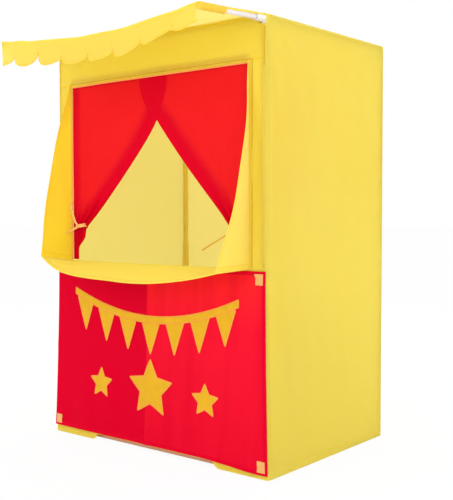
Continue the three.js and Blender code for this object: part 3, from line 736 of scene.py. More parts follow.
def make_finish(name):
    hue = colours()
    pitch = sizes().weave
    makers = {
        "cover": lambda: cloth_finish(name, hue.cover, hue.cover_deep_and_shade, 0.66, 0.62, 0.2, pitch, hue.glow),
        "curtain": lambda: cloth_finish(name, hue.curtain, hue.curtain_deep_and_shade, 0.4, 0.6, 0.015, pitch * 0.8,
                                        doubled_share=0.3),
        # The sign's cloth, with its painted light and shade
        "sign": lambda: cloth_finish(name, hue.sign, hue.sign_deep_and_shade, 0.1, 0.6, 0.015, pitch, extra=sign_painted_shading),
        # The sleeves' copy of the cover cloth, with painted light
        "sleeve": lambda: cloth_finish(name, hue.sleeve, hue.cover_deep_and_shade, 0.1, 0.62, 0.2, pitch, hue.glow),
        # The pockets' copy of the cover cloth, with painted shade
        "pocket": lambda: cloth_finish(name, hue.pocket, hue.cover_deep_and_shade, 0.3, 0.62, 0.2, pitch, hue.glow),
        # The ledge's copy of the cover cloth, with painted light
        "ledge": lambda: cloth_finish(name, hue.ledge, darker(hue.ledge, 0.93), 0.35, 0.62, 0.2, pitch,
                                      hue.glow),
        # Painted shadow lines beside the front's seams
        "seam": lambda: cloth_finish(name, hue.seam, darker(hue.seam, 0.9), 0.1, 0.7, 0.1, pitch),
        "piping": lambda: cloth_finish(name, hue.piping, darker(hue.piping, 0.9), 0.1, 0.7, 0.2, pitch),
        "tie": lambda: cloth_finish(name, hue.tie, darker(hue.tie, 0.88), 0.1, 0.6, 0.3, pitch),
        "shaded_tie": lambda: cloth_finish(name, hue.shaded_tie, darker(hue.shaded_tie, 0.88), 0.1, 0.6, 0.1,
                                           pitch),
        "thread": lambda: fuzzy_finish(name, hue.thread, darker(hue.thread, 0.8), 2600.0, 0.0001),
        "red_thread": lambda: fuzzy_finish(name, hue.red_thread, darker(hue.red_thread, 0.8), 2600.0, 0.0001),
        "felt": lambda: fuzzy_finish(name, hue.felt, darker(hue.felt, 0.86), 900.0, 0.0006),
        "felt_edge": lambda: fuzzy_finish(name, hue.felt_edge, darker(hue.felt_edge, 0.85), 1500.0, 0.0005,
                                          260.0),
        "loop": lambda: fuzzy_finish(name, hue.loop, darker(hue.loop, 0.8), 1400.0, 0.0009),
        # The tubes, with painted red bounce light on the bottom rail below the sign
        "tube": lambda: plastic_finish(name, hue.tube, 0.3, 900.0, painted_sign_bounce),
        "connector": lambda: plastic_finish(name, hue.connector, 0.45, 1600.0),
    }
    return makers[name]()


def finish_of(name):
    """A finish by its name, made on first use."""
    return bpy.data.materials.get(f"{name}_finish") or make_finish(name)


# The cover's box: every panel lies on one box with soft edges

def on_box(points, depth, low, high):
    """Moves points of a sharp box on to a box with rounded edges, and depth inwards from it."""
    radius = sizes().edge
    core = np.clip(points, np.array(low) + radius, np.array(high) - radius)
    away = points - core
    length = np.maximum(np.linalg.norm(away, axis=-1), 1e-9)
    return core + away * ((radius - depth) / length)[..., None]


def box_corners(front=True, top=True):
    """The box of the cloth's middle surface; an edge that isn't rounded is pushed far out."""
    half = sizes().cloth / 2
    far = 10
    low = (half - HALF_WIDTH, FRONT_Y + half if front else -far, -far)
    return low, (HALF_WIDTH - half, far, TOP_Z - half if top else far)


def flared(points):
    """The front hem stands out a little from the frame at the floor."""
    rise = np.clip(1 - points[..., 2] / FLARE_TOP_Z, 0, 1) ** 1.5
    forward = np.clip((BACK_Y - points[..., 1]) / (BACK_Y - FRONT_Y), 0, 1)
    sideways = FLARE_LEAN_SHARE + FLARE_SPREAD_SHARE * points[..., 0] / HALF_WIDTH
    points[..., 0] += sizes().flare * sideways * rise * forward
    points[..., 1] -= sizes().flare * rise * forward ** 4
    return points


def thick_hem(*pairs, lining_and_shade=0.0, folded=0.35):
    """Layers and thickness of a panel: its hems as functions of distance and width, on so much lining and
    painted shade.
    """
    def turned(u, v):
        return np.maximum.reduce([hemmed(distance(u, v), width) for distance, width in pairs])

    def hem(u, v):
        return mix(lining_and_shade, 1.0, folded * turned(u, v))

    def thickness(u, v):
        return sizes().cloth + sizes().hem * turned(u, v)

    return hem, thickness


def panel_seams(place, u_range, v_range, hems):
    """Stitches along the hems of a panel, on both faces: hems at low u, high u, low v and high v."""
    (low_u, high_u), (low_v, high_v) = u_range, v_range
    along_u = np.linspace(low_u, high_u, 240)
    along_v = np.linspace(low_v, high_v, 240)
    insets = [hem - STITCH_INSET for hem in hems]
    lines = ((low_u + insets[0], along_v), (high_u - insets[1], along_v),
             (along_u, low_v + insets[2]), (along_u, high_v - insets[3]))
    return [seam(place, u, v, hem_thickness(), 0.01, face) for face in (1, -1) for u, v in lines]


def wall_place(side):
    """A side wall, drawn in a little between its edges."""
    low, high = box_corners()
    size = sizes()
    corners = [(y, z) for y in (FRONT_Y, BACK_Y) for z in (FLOOR_GAP, TOP_Z)]

    def place(y, z):
        share_y = np.clip((y - FRONT_Y) / (BACK_Y - FRONT_Y), 0, 1)
        share_z = np.clip(z / (TOP_Z - FLOOR_GAP), 0, 1)
        drawn = np.sin(np.pi * share_y) * np.sin(np.pi * share_z)
        fade = inside(y, z, FRONT_Y, BACK_Y, FLOOR_GAP, TOP_Z)
        upright = creases(y * 1.6, z * 0.35, size.seed + side, 0.14)
        folds = creases(y, z, size.seed + 10 + side, 0.2) * 0.6 + upright + pulls(y, z, corners) * 0.9
        points = stack(side * high[0], y, z)
        return flared(on_box(points, size.sag * drawn + size.crease * fade * folds, low, high))

    return place


def make_walls():
    """Both side walls, each with its stitches."""
    size = sizes()
    layers = thick_hem(
        (lambda y, z: y - FRONT_Y, WALL_HEM),
        (lambda y, z: BACK_Y - y, WALL_HEM),
        (lambda y, z: TOP_Z - z, WALL_HEM),
        (lambda y, z: z - FLOOR_GAP, FLOOR_HEM),
        folded=0.12,
    )
    across = stops(FRONT_Y + size.cloth / 2, BACK_Y - 0.0005, size.step, WALL_HEM, WALL_HEM, size.edge)
    along = stops(FLOOR_GAP, TOP_Z - size.cloth / 2, size.step, FLOOR_HEM, WALL_HEM, size.edge)
    for name, side in SIDES:
        place = wall_place(side)
        wall = cover_panel(f"cover_wall_{name}", [f"wall_{name}"], place, across, along, layers, side < 0)
        rows = panel_seams(place, (FRONT_Y + 0.001, BACK_Y), (FLOOR_GAP, TOP_Z - 0.001),
                           (WALL_HEM, WALL_HEM, FLOOR_HEM, WALL_HEM))
        thread = sewn(f"cover_wall_stitches_{name}", rows)


def roof_place(x, y):
    """The roof, which sags a little between its edges."""
    low, high = box_corners(front=False)
    size = sizes()
    share_x = np.clip((x + HALF_WIDTH) / (2 * HALF_WIDTH), 0, 1)
    share_y = np.clip((y - FRONT_Y) / (BACK_Y - FRONT_Y), 0, 1)
    corners = [(cx, cy) for cx in (-HALF_WIDTH, HALF_WIDTH) for cy in (FRONT_Y, BACK_Y)]
    drawn = np.sin(np.pi * share_x) * np.sin(np.pi * share_y)
    fade = inside(x, y, -HALF_WIDTH, HALF_WIDTH, FRONT_Y, BACK_Y)
    folds = creases(x, y, size.seed + 20, 0.2) + pulls(x, y, corners) * 1.2
    return on_box(stack(x, y, high[2]), 2.5 * size.sag * drawn + size.crease * fade * folds, low, high)


def make_roof():
    """The roof with its stitches."""
    size = sizes()
    layers = thick_hem(
        (lambda x, y: HALF_WIDTH - np.abs(x), WALL_HEM),
        (lambda x, y: BACK_Y - y, WALL_HEM),
        (lambda x, y: y - FRONT_Y, WALL_HEM),
    )
    half = HALF_WIDTH - size.cloth / 2
    across = stops(-half, half, size.step, WALL_HEM, WALL_HEM, size.edge)
    along = stops(FRONT_Y, BACK_Y, size.step, WALL_HEM, WALL_HEM)
    roof = cover_panel("cover_roof", ["roof_panel"], roof_place, across, along, layers)
    rows = panel_seams(roof_place, (-half, half), (FRONT_Y, BACK_Y), (WALL_HEM,) * 4)
    thread = sewn("cover_roof_stitches", rows)


def window_top_z(x):
    """The header's lower seam, which sags a little at its left end."""
    sag = HEADER_SAG * between(-np.asarray(x, float), WINDOW_HALF - HEADER_SAG_LENGTH, WINDOW_HALF)
    return WINDOW_TOP - HEADER_DROP - sag


def header_place(x, share):
    """The header: its top dips at the two corners, where the awning's arms come out."""
    low, high = box_corners(top=False)
    size = sizes()
    slit = between(np.abs(x), POST_X - CORNER_SLIT, POST_X - CORNER_SLIT / 3)
    top = TOP_Z - 0.0016 - CORNER_SLIT * slit
    z = mix(window_top_z(x), top, share)
    fade = smooth(np.minimum(share, 1 - share) * 3) * smooth((HALF_WIDTH - np.abs(x)) / 0.03)
    level = creases(x * 0.35, z * 1.5, size.seed + 30, 0.09) * 0.8
    level = level + creases(x, z, size.seed + 31, 0.14) * 0.4
    return on_box(stack(x, low[1], z), size.crease * fade * level, low, high)


def strip_place(side):
    """A strip beside the window, pushed out a little by the post behind it."""
    low, high = box_corners(top=False)
    size = sizes()

    def place(x, share):
        z = mix(SILL_Z, window_top_z(side * x), share)
        over_post = STRIP_POST_RIDGE * np.exp(-((x - POST_X) / 0.006) ** 2)
        fade = smooth(np.minimum(share, 1 - share) * 14)
        folds = creases(x * 2.5, z * 0.5, size.seed + 40 + side, 0.1)
        crease = size.crease * 0.8 * fade * folds * smooth((HALF_WIDTH - x) / 0.01)
        return on_box(stack(side * x, low[1], z), crease - over_post * fade, low, high)

    return place


def front_hem_z(x):
    """The front panel's lower edge: down round the corners, and risen off the rail between them."""
    return FLOOR_GAP + PANEL_RISE * (1 - between(np.abs(x), CORNER_WRAP_X - CORNER_WRAP_CURVE, CORNER_WRAP_X))


def front_place(x, share):
    """The lower front panel, from its hem to the sill."""
    low, high = box_corners(top=False)
    size = sizes()
    z = mix(front_hem_z(x), SILL_Z, share)
    fade = smooth(np.minimum(share, 1 - share) * 10) * smooth((HALF_WIDTH - np.abs(x)) / 0.03)
    folds = creases(x, z, size.seed + 50, 0.18)
    return flared(on_box(stack(x, low[1], z), 0.0008 + size.crease * 0.5 * fade * (1 + folds), low, high))


def make_front():
    """Header, side strips and lower front panel, which share one piece of stitches."""
    size = sizes()
    half = HALF_WIDTH - size.cloth / 2
    header_height = TOP_Z - WINDOW_TOP
    across = stops(-half, half, size.step, WALL_HEM, WALL_HEM, size.edge)
    line = np.linspace(-half + 0.004, half - 0.004, 300)
    layers = thick_hem(
        (lambda x, share: HALF_WIDTH - np.abs(x), WALL_HEM),
        (lambda x, share: share * header_height, HEADER_HEM),
        (lambda x, share: (1 - share) * header_height, SEAM_HEM),
        lining_and_shade=0.36,
        folded=0.8,
    )
    shares = np.unique(np.concatenate([np.linspace(0, 1, 22), (0.07, 0.085, 0.1, 0.9, 0.915, 0.93)]))
    header = cover_panel("cover_header", ["header_panel"], header_place, across, shares, layers)
    rows = [row for share in (0.05, 0.95) for row in both_faces(header_place, line, share, 0.004)]
    layers = thick_hem(
        (lambda x, share: x - WINDOW_HALF, SEAM_HEM),
        (lambda x, share: HALF_WIDTH - x, WALL_HEM),
        lining_and_shade=0.25,
        folded=0.2,
    )
    strip_across = stops(WINDOW_HALF + 0.0003, half, 0.004, SEAM_HEM, WALL_HEM, size.edge)
    upward = np.linspace(0.01, 0.99, 200)
    for name, side in SIDES:
        place = strip_place(side)
        strip = cover_panel(f"cover_strip_{name}", [f"side_strip_{name}"], place, strip_across,
                            np.linspace(0, 1, 60), layers, side < 0)
        for x in (WINDOW_HALF + SEAM_HEM - STITCH_INSET, half - WALL_HEM + STITCH_INSET):
            rows += both_faces(place, x, upward)
    layers = thick_hem(
        (lambda x, share: HALF_WIDTH - np.abs(x), WALL_HEM),
        (lambda x, share: share * SILL_Z, PANEL_HEM),
        (lambda x, share: (1 - share) * SILL_Z, SEAM_HEM),
    )
    shares = np.unique(np.concatenate([np.linspace(0, 1, 50), (0.031, 0.0335, 0.036, 0.98, 0.9825)]))
    panel = cover_panel("cover_front_panel", ["lower_front_panel"], front_place, across, shares, layers)
    rows += [row for share in (0.03, 0.99) for row in both_faces(front_place, line, share, 0.004)]
    thread = sewn("cover_front_stitches", rows)


def corner_lines():
    """The welts where the panels meet: two front corners, two roof edges and two back corners."""
    inset = sizes().edge * (1 - math.sqrt(0.5))
    lines = []
    for _, side in SIDES:
        z = np.linspace(FLOOR_GAP + 0.002, TOP_Z - CORNER_SLIT - 0.004, 90)
        front = stack(side * (HALF_WIDTH - inset), FRONT_Y + inset, z)
        lines.append(flared(front))
        y = np.linspace(FRONT_Y + 0.012, BACK_Y - 0.002, 60)
        lines.append(stack(side * (HALF_WIDTH - inset), y, TOP_Z - inset))
        z = np.linspace(FLOOR_GAP + 0.002, TOP_Z - 0.004, 60)
        lines.append(stack(side * (HALF_WIDTH - 0.0008), BACK_Y - 0.0008, z))
    return lines


def make_welts():
    dress(piping_piece("cover_corner_welts", corner_lines(), WELT_RADIUS), "cover")


def make_window_piping():
    """Bias tape along the header's seam and down both sides of the window, and dark cords beside the seams
    that paint their shadow lines.
    """
    radius = sizes().piping
    low = SILL_Z + 0.004
    y = FRONT_Y + radius * 0.6
    x = np.linspace(-WINDOW_HALF + 0.002, WINDOW_HALF - 0.002, 120)
    lines = [stack(x, y, window_top_z(x) - radius * 0.8)]
    for _, side in SIDES:
        z = np.linspace(low, float(window_top_z(side * WINDOW_HALF)) - 0.003, 100)
        lines.append(stack(side * (WINDOW_HALF - radius * 0.5), y, z))
    # The tape's peach colour is painted red bounce light
    dress(piping_piece("window_piping", lines, radius), "piping")
    # Dark cords of painted shadow: above the header's seam, down the window's right side and beside both
    # corners of the front
    edge = WINDOW_HALF + BINDING_WIDTH
    y = FRONT_Y + SEAM_SHADOW_RADIUS * 0.4
    x = np.linspace(0.004 - edge, edge, 120)
    lines = [stack(x, y, window_top_z(x) + HEADER_SHADOW_LINE_RISE)]
    z = np.linspace(low, float(window_top_z(edge)) + HEADER_SHADOW_LINE_RISE, 100)
    lines.append(stack(edge, y, z))
    z = np.linspace(low, TOP_Z - CORNER_SLIT - 0.006, 100)
    lines += [stack(side * (HALF_WIDTH - 0.006), y, z) for _, side in SIDES]
    dress(piping_piece("front_seam_painted_shadows", lines, SEAM_SHADOW_RADIUS), "seam")


# Back flaps

def flap_place(side):
    """A back flap, from the middle of the back to its sewn side."""
    size = sizes()
    corners = [(FLAP_OUTER_X, FLOOR_GAP), (FLAP_OUTER_X, FLAP_TOP_Z)]

    def place(x, z):
        fade = inside(x, z, FLAP_INNER_X, FLAP_OUTER_X, FLOOR_GAP, FLAP_TOP_Z, 0.06)
        folds = creases(x * 1.5, z * 0.3, size.seed + 60 + side, 0.12) * 1.3
        folds = folds + creases(x, z, size.seed + 61 + side, 0.18) * 0.5 + pulls(x, z, corners) * 0.6
        share = np.clip((x - FLAP_INNER_X) / (FLAP_OUTER_X - FLAP_INNER_X), 0, 1)
        slack = FLAP_SLACK * np.sin(np.pi * share)
        y = BACK_Y - size.cloth / 2 - 0.0004 - fade * (slack + size.crease * (1 + folds))
        return stack(side * x, y, z)

    return place


def make_flaps():
    """Each flap is sewn to the stand down its outer side."""
    size = sizes()
    hem, thickness = thick_hem(
        (lambda x, z: x - FLAP_INNER_X, FLAP_HEM),
        (lambda x, z: FLAP_OUTER_X - x, WALL_HEM),
        (lambda x, z: FLAP_TOP_Z - z, FLAP_HEM),
        (lambda x, z: z - FLOOR_GAP, FLOOR_HEM),
    )
    across = stops(FLAP_INNER_X, FLAP_OUTER_X, size.step, FLAP_HEM, WALL_HEM)
    along = stops(FLOOR_GAP, FLAP_TOP_Z, size.step, FLOOR_HEM, FLAP_HEM)
    for name, side in SIDES:
        place = flap_place(side)
        flap = cloth_piece(f"cover_back_flap_{name}", place, across, along, thickness, hem, side > 0)
        rows = panel_seams(place, (FLAP_INNER_X, FLAP_OUTER_X), (FLOOR_GAP, FLAP_TOP_Z),
                           (FLAP_HEM, WALL_HEM, FLOOR_HEM, FLAP_HEM))
        thread = stitches_piece(f"back_flap_stitches_{name}", rows)
        for piece, finish in ((flap, "cover"), (thread, "thread")):
            piece.data.materials.append(finish_of(finish))
            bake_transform(piece)
        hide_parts(f"back_flap_{name}")


# Sleeves of the posts

def sleeve_place(side, end):
    """A sleeve round a post: it starts on the wall, runs round the tube and ends on the other wall."""
    post_y, way = (FRONT_POST_Y, -1) if end == "front" else (BACK_POST_Y, 1)
    wall = HALF_WIDTH - POST_X - 0.0013
    far = SLEEVE_ANGLE / 2

    def place(t, z):
        # Wider over the sockets at the sill, at the top and at the floor
        wide = 1 - between(np.abs(z - SILL_RAIL_Z), 0.037, 0.056)
        wide = wide + between(z, TOP_Z - 0.066, TOP_Z - 0.048) + 1 - between(z, 0.050, 0.066)
        radius = SLEEVE_RADIUS + SLEEVE_ROOM * wide + 0.0003 * np.sin(z * 57 + side) * np.sin(z * 23 + way)
        share = np.clip((t - SLEEVE_SEWN_SHARE) / (1 - 2 * SLEEVE_SEWN_SHARE), 0, 1)
        turn = mix(-far, far, share) - math.pi * 0.75
        out = radius * np.cos(turn)
        back = radius * np.sin(turn)
        first = np.clip(1 - t / SLEEVE_SEWN_SHARE, 0, 1)
        last = np.clip((t - 1 + SLEEVE_SEWN_SHARE) / SLEEVE_SEWN_SHARE, 0, 1)
        out = mix(mix(out, wall - 0.0035, first), wall, last)
        back = mix(mix(back, wall, first), wall - 0.0035, last)
        return stack(side * (POST_X + np.minimum(out, wall)), post_y + way * np.minimum(back, wall), z)

    return place


def make_post_sleeves():
    """Cloth channels sewn into the corners, which hold the posts."""
    thickness = sizes().cloth * 0.7
    t = np.unique(np.concatenate([np.linspace(0, 0.2, 4), np.linspace(0.2, 0.8, 25), np.linspace(0.8, 1, 4)]))
    for end in ("front", "back"):
        for name, side in SIDES:
            place = sleeve_place(side, end)
            turned = (side > 0) != (end == "front")
            spans = [(SLEEVE_END, TOP_Z - SLEEVE_END)]
            if end == "front":
                spans = [(SLEEVE_END, SILL_RAIL_Z - SLEEVE_SILL_GAP),
                         (SILL_RAIL_Z + SLEEVE_SILL_GAP, TOP_Z - SLEEVE_END)]
            for number, (bottom, top) in enumerate(spans):
                sleeve = cloth_piece(f"post_sleeve_{end}_{name}_{number + 1}", place, t,
                                     stops(bottom, top, 0.009), thickness, turned=turned)
                dress(sleeve, "sleeve")


# Awning

def arm_z(y):
    """Height of the arms' axis at a place in front of the stand."""
    share = (ARM_HIGH.y - y) / (ARM_HIGH.y - ARM_LOW.y)
    return mix(ARM_HIGH.z - TUBE_RADIUS, ARM_LOW.z + TUBE_RADIUS, share)


def arm_x(y):
    """How far the arms' axes are from the middle there: they lean in towards each other."""
    share = (ARM_HIGH.y - y) / (ARM_HIGH.y - ARM_LOW.y)
    return mix(ARM_HIGH.x - TUBE_RADIUS, ARM_LOW.x + TUBE_RADIUS, share)


def awning_sag(x):
    """Share of the sag: lowest to the right of the middle, none at the arms."""
    left = 1 - np.clip((AWNING_LOWEST_X - x) / (AWNING_LOWEST_X + POST_X), 0, 1) ** 2
    right = 1 - np.clip((x - AWNING_LOWEST_X) / (POST_X - AWNING_LOWEST_X), 0, 1) ** 1.4
    return np.where(x < AWNING_LOWEST_X, left, right)


def canopy_place(s, y):
    """The awning's sheet: s runs across it, and turns down round the arms past their axes."""
    size = sizes()
    reach = np.clip((FRONT_Y - y) / (FRONT_Y - CANOPY_FRONT_Y), 0, 1)
    over = mix(CANOPY_LIFT, TUBE_RADIUS + 0.0009, between(reach, 0.1, 0.62))
    past = np.clip(np.abs(s) - POST_X, 0, None) / ARM_WRAP_RADIUS
    arm = arm_x(y)
    x = np.where(past > 0, np.sign(s) * (arm + ARM_WRAP_RADIUS * np.sin(past)), s * arm / POST_X)
    down = ARM_WRAP_RADIUS * (1 - np.cos(past))
    sag = AWNING_SAG * awning_sag(np.clip(s, -POST_X, POST_X)) * reach ** AWNING_SAG_POWER
    fade = smooth((POST_X - np.abs(s)) / 0.05) * smooth(reach * 5)
    corners = [(-POST_X, CANOPY_FRONT_Y), (POST_X, CANOPY_FRONT_Y), (-POST_X, FRONT_Y), (POST_X, FRONT_Y)]
    folds = creases(s, y * 0.5, size.seed + 70, 0.13) + pulls(s, y, corners, 0.12, 7) * 1.6
    return stack(x, y, arm_z(y) + over - down - sag + size.crease * 1.4 * fade * folds)


def scallop(x):
    """Height of the valance: lobes between sharp notches, lowest to the left of their middle."""
    notches, heights = (np.array(row) for row in zip(*SCALLOPS))
    x = np.asarray(x, float)
    number = np.clip(np.searchsorted(notches, x, side="right") - 1, 0, len(notches) - 2)
    along = np.clip((x - notches[number]) / (notches[number + 1] - notches[number]), 0, 1)
    skewed = along ** SCALLOP_SKEW_POWER
    lobe = np.sqrt(np.clip(1 - (2 * skewed - 1) ** 2, 0, 1)) ** 0.85
    tip = mix(SCALLOP_TIP, SCALLOP_RIGHT_TIP, between(x, 0.11, 0.25))
    return mix(mix(heights[number], heights[number + 1], along), tip, lobe), number + along


def valance_place(x, share):
    """The valance hangs from the sheet's front hem, and its free ends curl in a little."""
    height, turn = scallop(x)
    carried = POST_X / arm_x(CANOPY_FRONT_Y)
    front_edge = canopy_place(np.clip(x * carried, -POST_X, POST_X), np.full(np.shape(x), CANOPY_FRONT_Y))
    top = front_edge[..., 2]
    swing = VALANCE_SWING * (1 - np.cos(math.tau * turn)) + 0.0010 * np.sin(turn * 2.3 + 1)
    right, left = VALANCE_HIGH.x, -VALANCE_LOW.x
    curl = VALANCE_END_CURL * (between(x, right - 0.03, right) + between(-x, left - 0.03, left))
    curl = curl + VALANCE_RIGHT_CURL * between(x, 0.12, 0.27)
    y = CANOPY_LOW.y - 0.0010 - (0.0012 + swing) * share ** 1.3 + curl * share
    drawn = VALANCE_RIGHT_DRAW * between(x, right - 0.05, right)
    drawn = drawn - VALANCE_LEFT_DRAW * between(-x, left - 0.05, left)
    return stack(x - drawn * share, y, top + 0.0004 - height * share)


def pocket_profile(long, thickness):
    """Profile of a closed pocket: an open mouth with a hem, a soft wall and a rounded end."""
    radius, inner = POCKET_RADIUS, POCKET_RADIUS - thickness
    profile = [(0, radius), (0.0008, radius + 0.0005), (0.004, radius + 0.0004), (0.0055, radius)]
    profile += [(long * share, radius + 0.0003 * math.sin(40 * share))
                for share in (0.15, 0.3, 0.5, 0.7, 0.85)]
    profile += [(long, radius), (long + 0.0008, radius - 0.0014), (long + 0.0012, radius - 0.004)]
    profile += [(long + 0.0012, CLOSED_END), (long + 0.0004, CLOSED_END)]
    return profile + [(long + 0.0004, inner - 0.003), (long, inner), (0, inner)]


def make_awning():
    """The sheet over its arms, a pocket for the end of each arm, and the valance."""
    size = sizes()
    layers = thick_hem(
        (lambda s, y: CANOPY_HALF - np.abs(s), AWNING_SIDE_HEM),
        (lambda s, y: FRONT_Y - y, AWNING_HEM),
        (lambda s, y: y - CANOPY_FRONT_Y, AWNING_HEM),
    )
    across = stops(-CANOPY_HALF, CANOPY_HALF, 0.0085, AWNING_SIDE_HEM, AWNING_SIDE_HEM, CANOPY_TURN)
    along = stops(CANOPY_FRONT_Y, FRONT_Y - 0.0003, 0.0075, AWNING_HEM, AWNING_HEM)
    canopy = cover_panel("awning_sheet", ["awning_canopy"], canopy_place, across, along, layers)
    line = np.linspace(-CANOPY_HALF + 0.006, CANOPY_HALF - 0.006, 260)
    inset = AWNING_HEM - STITCH_INSET
    rows = [row for y in (CANOPY_FRONT_Y + inset, FRONT_Y - inset)
            for row in both_faces(canopy_place, line, y, 0.003)]
    y = np.linspace(CANOPY_FRONT_Y + 0.004, FRONT_Y - 0.004, 90)
    rows += [row for _, side in SIDES
             for row in both_faces(canopy_place, side * (POST_X - 0.006), y, 0.003, size.cloth)]
    for name, side in SIDES:
        start, end = (np.array((side * arm_x(y), y, arm_z(y)))
                      for y in (ARM_LOW.y + POCKET_LENGTH, ARM_LOW.y))
        profile = pocket_profile(np.linalg.norm(end - start), size.cloth)
        pocket = joined_piece(f"awning_pocket_{name}", [turned_mesh(profile, start, end - start)])
        dress(pocket, "pocket")
    layers = thick_hem(
        (lambda x, share: (1 - share) * scallop(x)[0], 0.0045),
        (lambda x, share: share * scallop(x)[0], 0.007),
    )
    left, right = VALANCE_LOW.x, VALANCE_HIGH.x
    eased = (1 - np.cos(np.linspace(0, math.pi, 29))) / 2
    lobes = [mix(notch[0], after[0], eased) for notch, after in zip(SCALLOPS, SCALLOPS[1:])]
    columns = np.unique(np.round(np.clip(np.concatenate(lobes), left, right), 6))
    shares = np.unique(np.concatenate([np.linspace(0, 1, 14), (0.09, 0.13, 0.90, 0.95)]))
    valance = cover_panel("awning_valance_cloth", ["awning_valance"], valance_place, columns, shares, layers)
    x = np.linspace(left + 0.003, right - 0.003, 900)
    rows += both_faces(valance_place, x, 1 - 0.0035 / scallop(x)[0])
    thread = sewn("awning_stitches", rows)


# Ledge

def ledge_seam_z(side_share, reach):
    """Height of the seam between tray and gusset: it rises to the left corner and falls to the right."""
    return SILL_Z + 0.0006 + mix(LEDGE_LEFT_RISE, LEDGE_RIGHT_RISE, side_share) * reach


def tray_place(x, reach):
    """The ledge's tray, which sags between the two gussets."""
    size = sizes()
    half = WINDOW_HALF
    out = np.clip(np.abs(x) / half, 0, 1)
    power = np.where(x < 0, LEDGE_LEFT_POWER, LEDGE_RIGHT_POWER)
    drop = LEDGE_DROP * (1 - out ** power) * np.clip(reach, 0, 1) ** LEDGE_DROP_POWER
    belly = LEDGE_BELLY * np.sin(math.pi * np.clip(reach, 0, 1)) * (1 - out ** 2)
    y = mix(FRONT_Y - 0.0003, LEDGE_FRONT_Y, reach)
    roll = LEDGE_ROLL * between(reach, 0.93, 1.0)
    z = ledge_seam_z((x / half + 1) / 2, reach) - drop - belly
    fade = smooth((half - np.abs(x)) / 0.05) * smooth(np.minimum(reach, 1.1 - reach) * 4)
    corners = [(-half, LEDGE_FRONT_Y), (half, LEDGE_FRONT_Y), (-half, FRONT_Y), (half, FRONT_Y)]
    folds = creases(x, y * 0.8, size.seed + 80, 0.12) + pulls(x, y, corners, 0.09, 6) * 1.3
    drawn = LEDGE_RIGHT_DRAW * np.clip(x / half, 0, 1) ** 2 * np.clip(reach, 0, 1)
    return stack(x - drawn, y, z + size.crease * 0.8 * fade * folds - roll)


def gusset_place(side):
    """A gusset between the window's side and an end of the tray, with its bowed free edge."""
    size = sizes()
    side_share = (side + 1) / 2

    def place(out, up):
        narrowed = np.clip(up, 0, 1) ** (1 / GUSSET_EDGE_POWER)
        wide = mix(TRAY_HIGH.y - LEDGE_FRONT_Y, GUSSET_TOP_WIDTH, narrowed)
        y = FRONT_Y - 0.0004 - out * wide
        reach = (FRONT_Y - y) / (FRONT_Y - LEDGE_FRONT_Y)
        bottom = ledge_seam_z(side_share, reach) - 0.0008
        z = mix(bottom, GUSSET_TOP_Z, up)
        bow = GUSSET_BOW * np.sin(math.pi * np.clip(up, 0, 1)) * out
        fade = smooth(out * 4) * smooth(up * 8) * smooth((1 - up) * 8)
        folds = creases(out * 0.12, z * 0.6, size.seed + 90 + side, 0.14) + 0.6 * np.sin(z * 31 + out * 2)
        drawn = LEDGE_RIGHT_DRAW * side_share * np.clip(reach, 0, 1) * np.clip(1 - up, 0, 1) ** 0.6
        x = WINDOW_HALF + 0.0012 + bow - drawn + size.crease * 1.5 * fade * folds
        return stack(side * x, y, z)

    return place


def make_ledge():
    """Tray and gussets. The gussets also stand for the stays in their hems."""
    layers = thick_hem(
        (lambda x, reach: WINDOW_HALF - np.abs(x), SEAM_HEM),
        (lambda x, reach: (1 - reach) * LEDGE_REACH, LEDGE_HEM),
        (lambda x, reach: reach * LEDGE_REACH, 0.006),
    )
    ends = WINDOW_HALF * np.sin(np.linspace(-math.pi / 2, math.pi / 2, 90))
    reaches = np.unique(np.concatenate([np.linspace(0, 1, 20), (0.05, 0.06, 0.873, 0.88, 0.886)]))
    tray = cover_panel("ledge_tray_cloth", ["ledge_tray"], tray_place, ends, reaches, layers, True, "ledge")
    x = np.linspace(-WINDOW_HALF + 0.004, WINDOW_HALF - 0.004, 300)
    rows = [row for reach in (0.9, 0.04) for row in both_faces(tray_place, x, reach)]
    outs = np.unique(np.concatenate([np.linspace(0, 1, 18), (0.93, 0.945, 0.96)]))
    ups = np.unique(np.concatenate([np.linspace(0, 1, 70), (0.028, 0.031, 0.034)]))
    for name, side in SIDES:
        place = gusset_place(side)
        layers = thick_hem(
            (lambda out, up: (1 - out) * mix(LEDGE_REACH, GUSSET_TOP_WIDTH, up), GUSSET_EDGE_HEM),
            (lambda out, up: up * GUSSET_HEM_RUN, GUSSET_LOW_HEM),
            # Left: painted shade on its inner face; right: a little lining
            lining_and_shade=1.0 if side < 0 else 0.15,
        )
        gusset = cover_panel(f"ledge_gusset_{name}", [f"gusset_{name}", f"ledge_stay_{name}"], place,
                             outs, ups, layers, side > 0)
        rows += both_faces(place, 0.955, np.linspace(0.02, 0.9, 160))
        rows += both_faces(place, np.linspace(0.05, 0.95, 60), 0.027)
    thread = sewn("ledge_stitches", rows)


# Curtains and ties

def curtain_inner_x(z, side):
    """The free edge, measured from the middle towards the curtain's own side."""
    ring = RING_INNER_X[side]
    crossing = side * CURTAIN_CROSSING_X
    fall = np.clip((TIE_RING_Z - 0.006 - z) / (TIE_RING_Z - 0.006 - CURTAIN_LOW.z), 0, 1)
    below = mix(ring + 0.006, TAIL_INNER_X, smooth((fall - 0.25) / 0.4))
    drop = np.clip((CURTAIN_CROSSING_Z - z) / (CURTAIN_CROSSING_Z - TIE_RING_Z), 0, 1)
    above = mix(crossing, ring, drop ** CURTAIN_EDGE_POWER[side])
    rise = np.clip((z - CURTAIN_CROSSING_Z) / (CURTAIN_HIGH.z - CURTAIN_CROSSING_Z), 0, 1)
    top = mix(crossing, -CURTAIN_OVERLAP, 1 - (1 - rise) ** 2.8)
    return np.where(z < TIE_RING_Z - 0.006, below, np.where(z < CURTAIN_CROSSING_Z, above, top))


